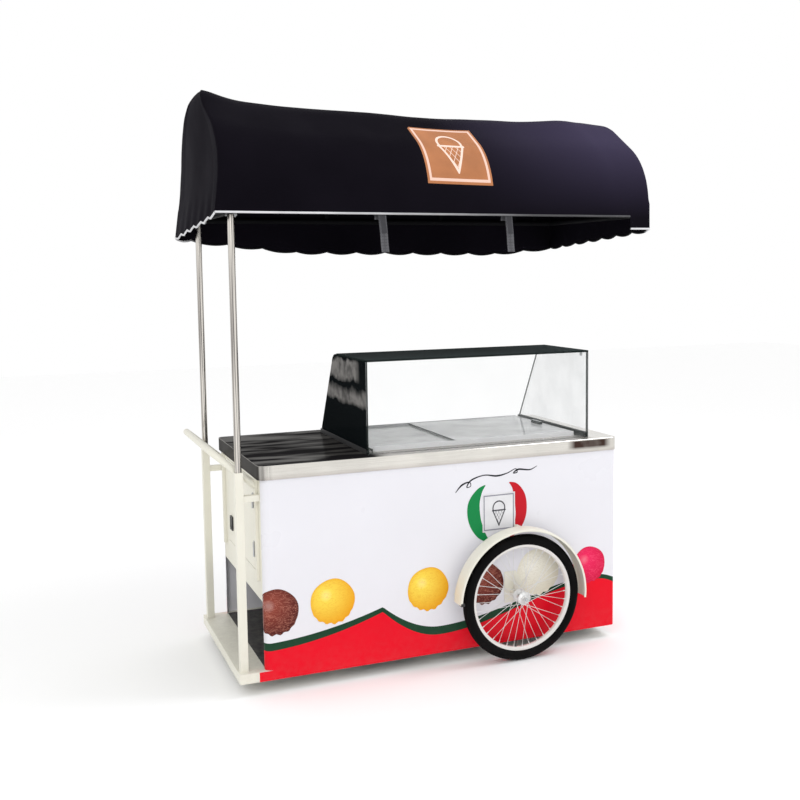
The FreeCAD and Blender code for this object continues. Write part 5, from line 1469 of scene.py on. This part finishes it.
# %% [markdown]
# ## Prints on the body panels
# The panels carry printed film: a red wave with a green edge along the foot, round coloured
# ice cream scoops that rest on it, and one white badge with ribbons behind. Each print is a
# skin a third of a millimetre off the sheet, so it takes the same light and wraps round the
# bent corners as film does. The drawing on it is procedural.

# %% Where a print lies
END_BEND = 0.012
END_X = PANEL_RIGHT + END_BEND
END_HALF = -PANEL_Y - END_BEND
LEFT_ARC = PANEL_BEND * math.pi / 2.0
RIGHT_ARC = END_BEND * math.pi / 2.0
S_END = PANEL_RIGHT + RIGHT_ARC
S_FAR = S_END + 2.0 * END_HALF + RIGHT_ARC
S_LAST = S_FAR + (PANEL_RIGHT - PANEL_LEFT) + LEFT_ARC
S_TURN = S_END + S_FAR - RIGHT_ARC
FILM = 0.0003


def bend_point(x, y, radius, angle, z):
    """Point on a rounded corner; angle 0 faces the near side and a quarter turn the end."""
    return Vector((x + radius * math.sin(angle), y - radius * math.cos(angle), z))


def wrap(s, z, off=FILM):
    """Point of the body's skin: s is x on the near panel and runs on round the end to the far side."""
    if s > S_TURN / 2.0:
        mirrored = wrap(S_TURN - s, z, off)
        return Vector((mirrored.x, -mirrored.y, z))
    if s < PANEL_LEFT:
        angle = (s - PANEL_LEFT) / PANEL_BEND
        return bend_point(PANEL_LEFT, PANEL_Y + PANEL_BEND, PANEL_BEND + off, angle, z)
    if s <= PANEL_RIGHT:
        return Vector((s, PANEL_Y - off, z))
    if s < S_END:
        return bend_point(PANEL_RIGHT, -END_HALF, END_BEND + off, (s - PANEL_RIGHT) / END_BEND, z)
    return Vector((END_X + off, -END_HALF + s - S_END, z))


print("skin of the body", round(S_LAST - PANEL_LEFT + LEFT_ARC, 3), "m round")

# %% Wave print
# Knots of the wave: place along the skin, height of the edge, and whether it is a sharp crest.
WAVE = [(PANEL_LEFT - LEFT_ARC, 0.206, False), (-0.289, 0.291, True), (-0.032, 0.173, False),
        (0.740, 0.302, False), (1.020, 0.205, False), (1.230, 0.285, True), (1.440, 0.195, False),
        (1.800, 0.300, False), (2.340, 0.150, False), (2.870, 0.148, False), (S_LAST, 0.206, False)]


def wave_top(s):
    """Height of the wave's edge at a place along the skin."""
    for (a, u, sharp_a), (b, w, sharp_b) in zip(WAVE, WAVE[1:]):
        if s <= b:
            t = max(0.0, (s - a) / (b - a))
            if sharp_b:
                return u + (w - u) * t ** 1.9
            if sharp_a:
                return w + (u - w) * (1.0 - t) ** 1.9
            return u + (w - u) * t * t * (3.0 - 2.0 * t)
    return WAVE[-1][1]


def wave_edge(s):
    """Width of the green edge."""
    return 0.020 + 0.016 * min(1.0, max(0.0, (0.295 - wave_top(s)) / 0.12))


def printed(name, colour, roughness=0.32):
    """Printed film of one colour, with dust low down."""
    material, tree, face = new_material(name, roughness, specular=0.10)
    base = use_effect(tree, CLOUDY, Color=colour, Amount=0.05, Scale=3.0)
    grey = use_effect(tree, DUST, Amount=0.12, Height=0.35)["Mask"]
    join(tree, blend_colours(tree, grey, base["Color"], DUST_COLOUR), face.inputs["Base Color"])
    join(tree, ramp(tree, grey, 0.0, 0.3, roughness, roughness + 0.2), face.inputs["Roughness"])
    join(tree, fine_bump(tree, 420.0, 0.05), face.inputs["Normal"])
    return material


PRINT_RED = printed("red film", (0.80, 0.003, 0.018))
PRINT_GREEN = printed("dark green film", (0.010, 0.052, 0.024))
FOOT_Z = 0.0553
FOOT_TOP = 0.0955


def band_columns():
    """Places along the skin, close together on the bends."""
    half = [PANEL_LEFT - LEFT_ARC + LEFT_ARC * i / 10.0 for i in range(10)]
    half += [PANEL_LEFT + (PANEL_RIGHT - PANEL_LEFT) * i / 200.0 for i in range(200)]
    half += [PANEL_RIGHT + RIGHT_ARC * i / 6.0 for i in range(6)]
    half += [S_END + 2.0 * END_HALF * i / 90.0 for i in range(90)]
    return sorted({round(s, 6) for s in half + [S_TURN - s for s in half] + [S_LAST]})


def add_band():
    """The red wave with the strips beside the ledge, and its green edge."""
    whole = band_columns()
    red, green = [], []
    for s in whole:
        top, width = wave_top(s), wave_edge(s)
        on_bend = s < PANEL_LEFT or s > S_LAST - LEFT_ARC
        low = FOOT_TOP if on_bend else FOOT_Z
        red += [wrap(s, low + (top - width - low) * r / 4.0) for r in range(5)]
        green += [wrap(s, top - width + width * r / 2.0) for r in range(3)]
    skirts = []
    for side in (-1.0, 1.0):
        y, high = side * (FILM - PANEL_Y), SKIRT_HIGH - FILM
        corners = [(SKIRT_LEFT, y, FOOT_Z), (PANEL_LEFT, y, FOOT_Z), (PANEL_LEFT, y, high),
                   (SKIRT_LEFT, y, high)]
        skirts.append(([Vector(c) for c in corners], [(0, 1, 2, 3) if side < 0 else (3, 2, 1, 0)]))
    wave = gathered([(red, grid_faces(len(whole), 5))] + skirts)
    films = [add_piece("red_wave_print", *wave, PRINT_RED),
             add_piece("green_edge_print", green, grid_faces(len(whole), 3), PRINT_GREEN)]
    return films


BAND = add_band()
print("wave", [len(piece.data.polygons) for piece in BAND])

# %% Scoop prints
def scoop_film(name, light, dark, vein, veins):
    """A round scoop: lit from the upper left, with torn veins across it and a shaded rim."""
    material, tree, face = new_material(name, 0.34, specular=0.15)
    at = split_axes(tree, coordinates(tree, "UV"))
    u, v = at["X"], at["Y"]
    lit = distance(tree, math_node(tree, "ADD", u, 0.30), math_node(tree, "SUBTRACT", v, 0.30))
    tone = blend_colours(tree, ramp(tree, lit, 0.15, 1.35), light, dark)
    pulled = stretched(tree, coordinates(tree, "Object"), (1.0, 1.0, 2.6))
    torn = grain(tree, pulled, 26.0, 5.0, Roughness=0.6, Distortion=1.4)
    crease = math_node(tree, "ABSOLUTE", math_node(tree, "SUBTRACT", torn, 0.5))
    crease = ramp(tree, crease, 0.030, 0.006, 0.0, veins)
    tone = blend_colours(tree, crease, tone, vein)
    tone = blend_colours(tree, ramp(tree, distance(tree, u, v), 0.86, 1.02, 0.0, 0.55), tone, dark)
    gleam = ramp(tree, lit, 0.30, 0.05, 0.0, 0.14)
    tone = blend_colours(tree, gleam, tone, (0.95, 0.93, 0.88))
    join(tree, tone, face.inputs["Base Color"])
    join(tree, fine_bump(tree, 420.0, 0.05), face.inputs["Normal"])
    return material


# Lit colour, shaded colour, vein colour and strength of the veins.
SCOOP_FILMS = {
    "yellow": ((0.93, 0.72, 0.09), (0.80, 0.36, 0.010), (0.74, 0.33, 0.02), 0.45),
    "brown": ((0.27, 0.055, 0.036), (0.070, 0.010, 0.008), (0.46, 0.17, 0.12), 0.75),
    "cream": ((0.90, 0.88, 0.78), (0.74, 0.70, 0.57), (0.66, 0.62, 0.50), 0.55),
    "pink": ((0.86, 0.020, 0.115), (0.62, 0.003, 0.050), (0.92, 0.10, 0.22), 0.45),
}
FILMS = {flavour: scoop_film(flavour + " scoop film", *look) for flavour, look in SCOOP_FILMS.items()}
# Centre along the skin, height, radius and film of each scoop; the last three are on the far side.
SCOOPS = [
    (-0.742, 0.331, 0.094, "brown"), (-0.505, 0.345, 0.094, "yellow"), (-0.085, 0.342, 0.093, "yellow"),
    (0.180, 0.330, 0.090, "brown"), (0.440, 0.352, 0.104, "cream"), (0.700, 0.352, 0.083, "pink"),
    (1.230, 0.385, 0.090, "cream"), (2.05, 0.345, 0.094, "pink"), (2.370, 0.315, 0.094, "yellow"),
    (2.990, 0.315, 0.094, "brown")]


def add_scoop(index, s, z, radius, film):
    """A disc of film, cut round above and ruffled at its foot."""
    rings, steps, off = 8, 72, 2.0 * FILM
    points, uvs = [wrap(s, z, off)], [(0.0, 0.0)]
    faces = []
    for i in range(1, rings + 1):
        for j in range(steps):
            a = 2.0 * math.pi * j / steps
            foot = max(0.0, -math.sin(a)) ** 2
            ruffle = 0.012 * math.sin(5.0 * a + index) + foot * 0.045 * math.sin(17.0 * a + 2.0 * index)
            share = i / rings
            r = radius * share * (1.0 + ruffle * share)
            points.append(wrap(s + r * math.cos(a), z + r * math.sin(a), off))
            uvs.append((share * math.cos(a), share * math.sin(a)))
    for j in range(steps):
        k = (j + 1) % steps
        faces.append((0, 1 + j, 1 + k))
        for i in range(rings - 1):
            a, b = 1 + i * steps, 1 + (i + 1) * steps
            faces.append((a + j, b + j, b + k, a + k))
    piece = add_piece("scoop_print_%d" % index, points, faces, FILMS[film])
    set_uv(piece, uvs)
    return piece


for index, (s, z, radius, film) in enumerate(SCOOPS):
    add_scoop(index, s, z, radius, film)
print("scoops", len(SCOOPS))

# %% Badge, ribbons and flourish
PRINT_LEAF = printed("leaf green film", (0.010, 0.235, 0.065))
PRINT_RIBBON = printed("ribbon red film", (0.55, 0.012, 0.022))
PRINT_INK = printed("dark ink", (0.018, 0.018, 0.024), 0.4)


def curve_through(knots, steps):
    """Smooth points through (x, z, width) knots."""
    ends = [knots[0]] + knots + [knots[-1]]
    result = []
    for four in zip(ends, ends[1:], ends[2:], ends[3:]):
        for j in range(steps):
            t = j / steps
            result.append(tuple(
                0.5 * (2.0 * q + (r - p) * t + (2.0 * p - 5.0 * q + 4.0 * r - w) * t * t
                       + (3.0 * q - p - 3.0 * r + w) * t ** 3) for p, q, r, w in zip(*four)))
    return result + [knots[-1]]


def ribbon(name, knots, material, off, steps=14):
    """A printed stroke whose width changes along it."""
    line = curve_through(knots, steps)
    points = []
    for i, (x, z, width) in enumerate(line):
        ax, az = line[max(i - 1, 0)][:2]
        bx, bz = line[min(i + 1, len(line) - 1)][:2]
        along = Vector((bx - ax, 0.0, bz - az)).normalized()
        over = Vector((-along.z, 0.0, along.x))
        for across in (-0.5, 0.0, 0.5):
            points.append(Vector((x, PANEL_Y - off, z)) + over * (across * width))
    piece = add_piece(name, points, grid_faces(len(line), 3), material)
    return piece


# Knots of each stroke as (x, z, width).
GREEN_KNOTS = [(0.205, 0.512, 0.006), (0.165, 0.548, 0.040), (0.135, 0.610, 0.058),
               (0.130, 0.680, 0.056), (0.155, 0.735, 0.030), (0.185, 0.762, 0.004)]
RED_KNOTS = [(0.300, 0.520, 0.004), (0.335, 0.560, 0.034), (0.356, 0.620, 0.052),
             (0.352, 0.690, 0.056), (0.330, 0.742, 0.034), (0.300, 0.765, 0.004)]
INK_KNOTS = [(0.045, 0.742, 0.0023), (0.075, 0.772, 0.0075), (0.110, 0.782, 0.0045),
             (0.116, 0.764, 0.0030), (0.098, 0.762, 0.0045), (0.120, 0.790, 0.0067),
             (0.180, 0.806, 0.0045), (0.240, 0.798, 0.0075), (0.290, 0.806, 0.0045),
             (0.330, 0.822, 0.0033), (0.338, 0.806, 0.0045), (0.320, 0.804, 0.0045),
             (0.345, 0.818, 0.0075), (0.400, 0.812, 0.0053), (0.436, 0.826, 0.0018)]
ribbon("green_ribbon_print", GREEN_KNOTS, PRINT_LEAF, 0.0005)
ribbon("red_ribbon_print", RED_KNOTS, PRINT_RIBBON, 0.0006)
ribbon("flourish_print", INK_KNOTS, PRINT_INK, 0.0005, 10)


BADGE_X = (0.171, 0.327)
BADGE_Z = (0.556, 0.722)


def add_badge():
    """The square badge over the ribbons."""
    cells = 8
    points, uvs = [], []
    for r in range(cells + 1):
        z = BADGE_Z[0] + (BADGE_Z[1] - BADGE_Z[0]) * r / cells
        for c in range(cells + 1):
            x = BADGE_X[0] + (BADGE_X[1] - BADGE_X[0]) * c / cells
            points.append(Vector((x, PANEL_Y - 3.0 * FILM, z)))
            uvs.append((2.0 * c / cells - 1.0, 2.0 * r / cells - 1.0))
    badge = add_piece("badge_print", points, grid_faces(cells + 1, cells + 1), BADGE_SHEET)
    set_uv(badge, uvs)
    return badge


print(add_badge().name)

# %% [markdown]
# ## Fenders and small fittings
# Each fender is a rolled channel. Its crown is a little round and both edges are turned in,
# which stiffens thin sheet. Three flat stays carry it from the body. Weld beads, tyre valves
# and clips are small, but the eye looks for them where parts meet.

# %% Fenders
FENDER_R = 0.305
FENDER_HALF = 0.035
FENDER_FROM = math.radians(-6.0)
FENDER_TO = math.radians(178.0)
FENDER_STEPS = 110
FENDER_LIP = 0.012
# Angle of each stay in degrees, its lean along X, and how far its foot goes below and above it.
STAYS = [(172.0, 0.034, 0.012, 0.012), (88.0, 0.0, 0.026, 0.0025), (4.0, 0.0, 0.012, 0.012)]


def fender_outline():
    """Section as (drop from the crown, y): round crown, turned edges, 2 mm sheet."""
    outside = []
    for i in range(13):
        y = -FENDER_HALF + 2.0 * FENDER_HALF * i / 12.0
        outside.append((0.0030 * (abs(y) / FENDER_HALF) ** 3, y))
    whole = [(FENDER_LIP, -FENDER_HALF)] + outside + [(FENDER_LIP, FENDER_HALF)]
    inner_half = FENDER_HALF * 0.949
    inner = [(d + 0.0018, y * 0.949) for d, y in outside]
    return whole + [(FENDER_LIP, inner_half)] + inner[::-1] + [(FENDER_LIP, -inner_half)]


def on_arch(side, radius, angle, y=0.0):
    """A point at a radius and an angle about a wheel's centre."""
    return wheel_centre(side) + Vector((radius * math.cos(angle), y, radius * math.sin(angle)))


def stay(side, angle, lean, below, above):
    """A flat arm from the fender to the panel, and its foot on the panel."""
    middle = on_arch(side, FENDER_R - 0.007, math.radians(angle))
    x, z, wall = middle.x, middle.z, side * -PANEL_Y
    ends = sorted((side * (WHEEL_Y - FENDER_HALF + 0.001), wall))
    arm, faces = block(x - 0.008, x + 0.008, ends[0], ends[1], z - 0.0025, z + 0.0025)
    arm = [p + Vector((lean, 0.0, 0.0)) if abs(p.y - wall) < 0.0001 else p for p in arm]
    foot = sorted((wall, wall + side * 0.003))
    x += lean
    return [(arm, faces), block(x - 0.008, x + 0.008, foot[0], foot[1], z - below, z + above)]


def fender(side):
    """The rolled channel over one wheel, with its stays."""
    outline = fender_outline()
    points = []
    for i in range(FENDER_STEPS + 1):
        a = FENDER_FROM + (FENDER_TO - FENDER_FROM) * i / FENDER_STEPS
        points += [on_arch(side, FENDER_R - drop, a, y) for drop, y in outline]
    faces = grid_faces(FENDER_STEPS + 1, len(outline), ring=True)
    faces.append(tuple(range(len(outline)))[::-1])
    faces.append(tuple(FENDER_STEPS * len(outline) + c for c in range(len(outline))))
    parts = [(points, faces)]
    for row in STAYS:
        parts += stay(side, *row)
    return gathered(parts)


FENDERS = add_piece("rolled_fenders", *gathered([fender(-1), fender(1)]), IVORY)
soften(FENDERS, 0.0006, 2, 40.0)
rounded = FENDERS.modifiers.new("smooth", "NODES")
rounded.node_group = SMOOTH_EDGES
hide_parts("fenders")

clips = []
for side, _ in WHEELS:
    y = side * (WHEEL_Y + FENDER_HALF - 0.010)
    at = on_arch(side, FENDER_R - 0.004, FENDER_TO - 0.03)
    pin = Vector((at.x + 0.007, y, at.z - 0.008))
    clips.append(block(at.x - 0.001, at.x + 0.016, y - 0.013, y + 0.010, at.z - 0.013, at.z - 0.001))
    clips.append(swept([pin, pin + Vector((0.0, side * 0.0125, 0.0))], 0.0045, 14))
CLIPS = add_piece("fender_clips", *gathered(clips), BLACK_PLASTIC, smooth=False)
soften(CLIPS, 0.0012, 2)
print("fenders", len(FENDERS.data.polygons), "faces")

# %% Weld beads
POST_X = (-0.882, -0.850)
POST_Y = (0.337, 0.369)
LEDGE_Z = 0.0955


def weld_round(x0, x1, y0, y1, z, radius=0.0022):
    """A bead of weld that goes round a square tube's foot."""
    corners = [Vector((x, y, z)) for x, y in ((x0, y0), (x1, y0), (x1, y1), (x0, y1))]
    path = [a.lerp(b, j / 14.0) for a, b in zip(corners, corners[1:] + corners[:1]) for j in range(14)]
    lumps = [1.0 + 0.22 * math.sin(i * 2.1) + 0.10 * math.sin(i * 5.3) for i in range(len(path))]
    return swept(path, [radius * lump for lump in lumps], 8, closed=True)


beads = [weld_round(*POST_X, *sorted(side * y for y in POST_Y), LEDGE_Z) for side, _ in WHEELS]
WELDS = add_piece("post_weld_beads", *gathered(beads), IVORY)
print("beads", len(beads))

# %% Screws
OUT_LEFT = Vector((-1.0, 0.0, 0.0))
HINGE_FACE = -0.788
LATCH_FACE = -0.793
SCREW_STEPS = 20
# Outline of a head as (share of the radius, share of the height), from the sheet into the recess.
SCREW_HEAD = [(1.0, 0.0), (1.0, 0.25), (0.85, 0.70), (0.55, 0.95), (0.30, 1.0), (0.26, 0.45)]


def screw_head(place, way, radius=0.0030, height=0.0015):
    """A low domed screw head with a round recess in its middle."""
    side = way.orthogonal().normalized()
    over = way.cross(side)
    points = []
    for share, rise in SCREW_HEAD:
        for j in range(SCREW_STEPS):
            a = 2.0 * math.pi * j / SCREW_STEPS
            spoke = side * math.cos(a) + over * math.sin(a)
            points.append(place + way * (rise * height) + spoke * (radius * share))
    faces = grid_faces(len(SCREW_HEAD), SCREW_STEPS, ring=True)
    faces.append(tuple((len(SCREW_HEAD) - 1) * SCREW_STEPS + j for j in range(SCREW_STEPS)))
    return points, faces


wall_screws = [screw_head(Vector((HINGE_FACE, -0.279, z)), OUT_LEFT)
               for z in (0.538, 0.552, 0.739, 0.753)]
door_screws = [screw_head(Vector((HINGE_FACE, -0.248, z)), OUT_LEFT)
               for z in (0.568, 0.582, 0.769, 0.783)]
door_screws += [screw_head(Vector((LATCH_FACE, y, z)), OUT_LEFT, 0.0022, 0.0008)
                for y in (0.1662, 0.2038) for z in (0.5412, 0.5948)]
SCREWS = [("wall_hinge_screws", wall_screws, "cart"), ("door_screws", door_screws, "door")]
for label, heads, body in SCREWS:
    add_piece(label, *gathered(heads), ZINC, body)
    print(label, len(heads))

# %% Tyre valves
VALVE_TURN = math.radians(262.0)
# Section of a valve as (distance from the wheel's centre, radius).
VALVE = [(0.2185, 0.0046), (0.2160, 0.0046), (0.2150, 0.0032), (0.2060, 0.0032), (0.2050, 0.0036),
         (0.1930, 0.0036), (0.1915, 0.0028)]
for side, name in WHEELS:
    stem = [on_arch(side, reach, VALVE_TURN) for reach, _ in VALVE]
    tube = swept(stem, [r for _, r in VALVE], 14)
    valve = add_piece(name + "_valve", *tube, BLACK_PLASTIC, name + "_wheel")
    print(valve.name)
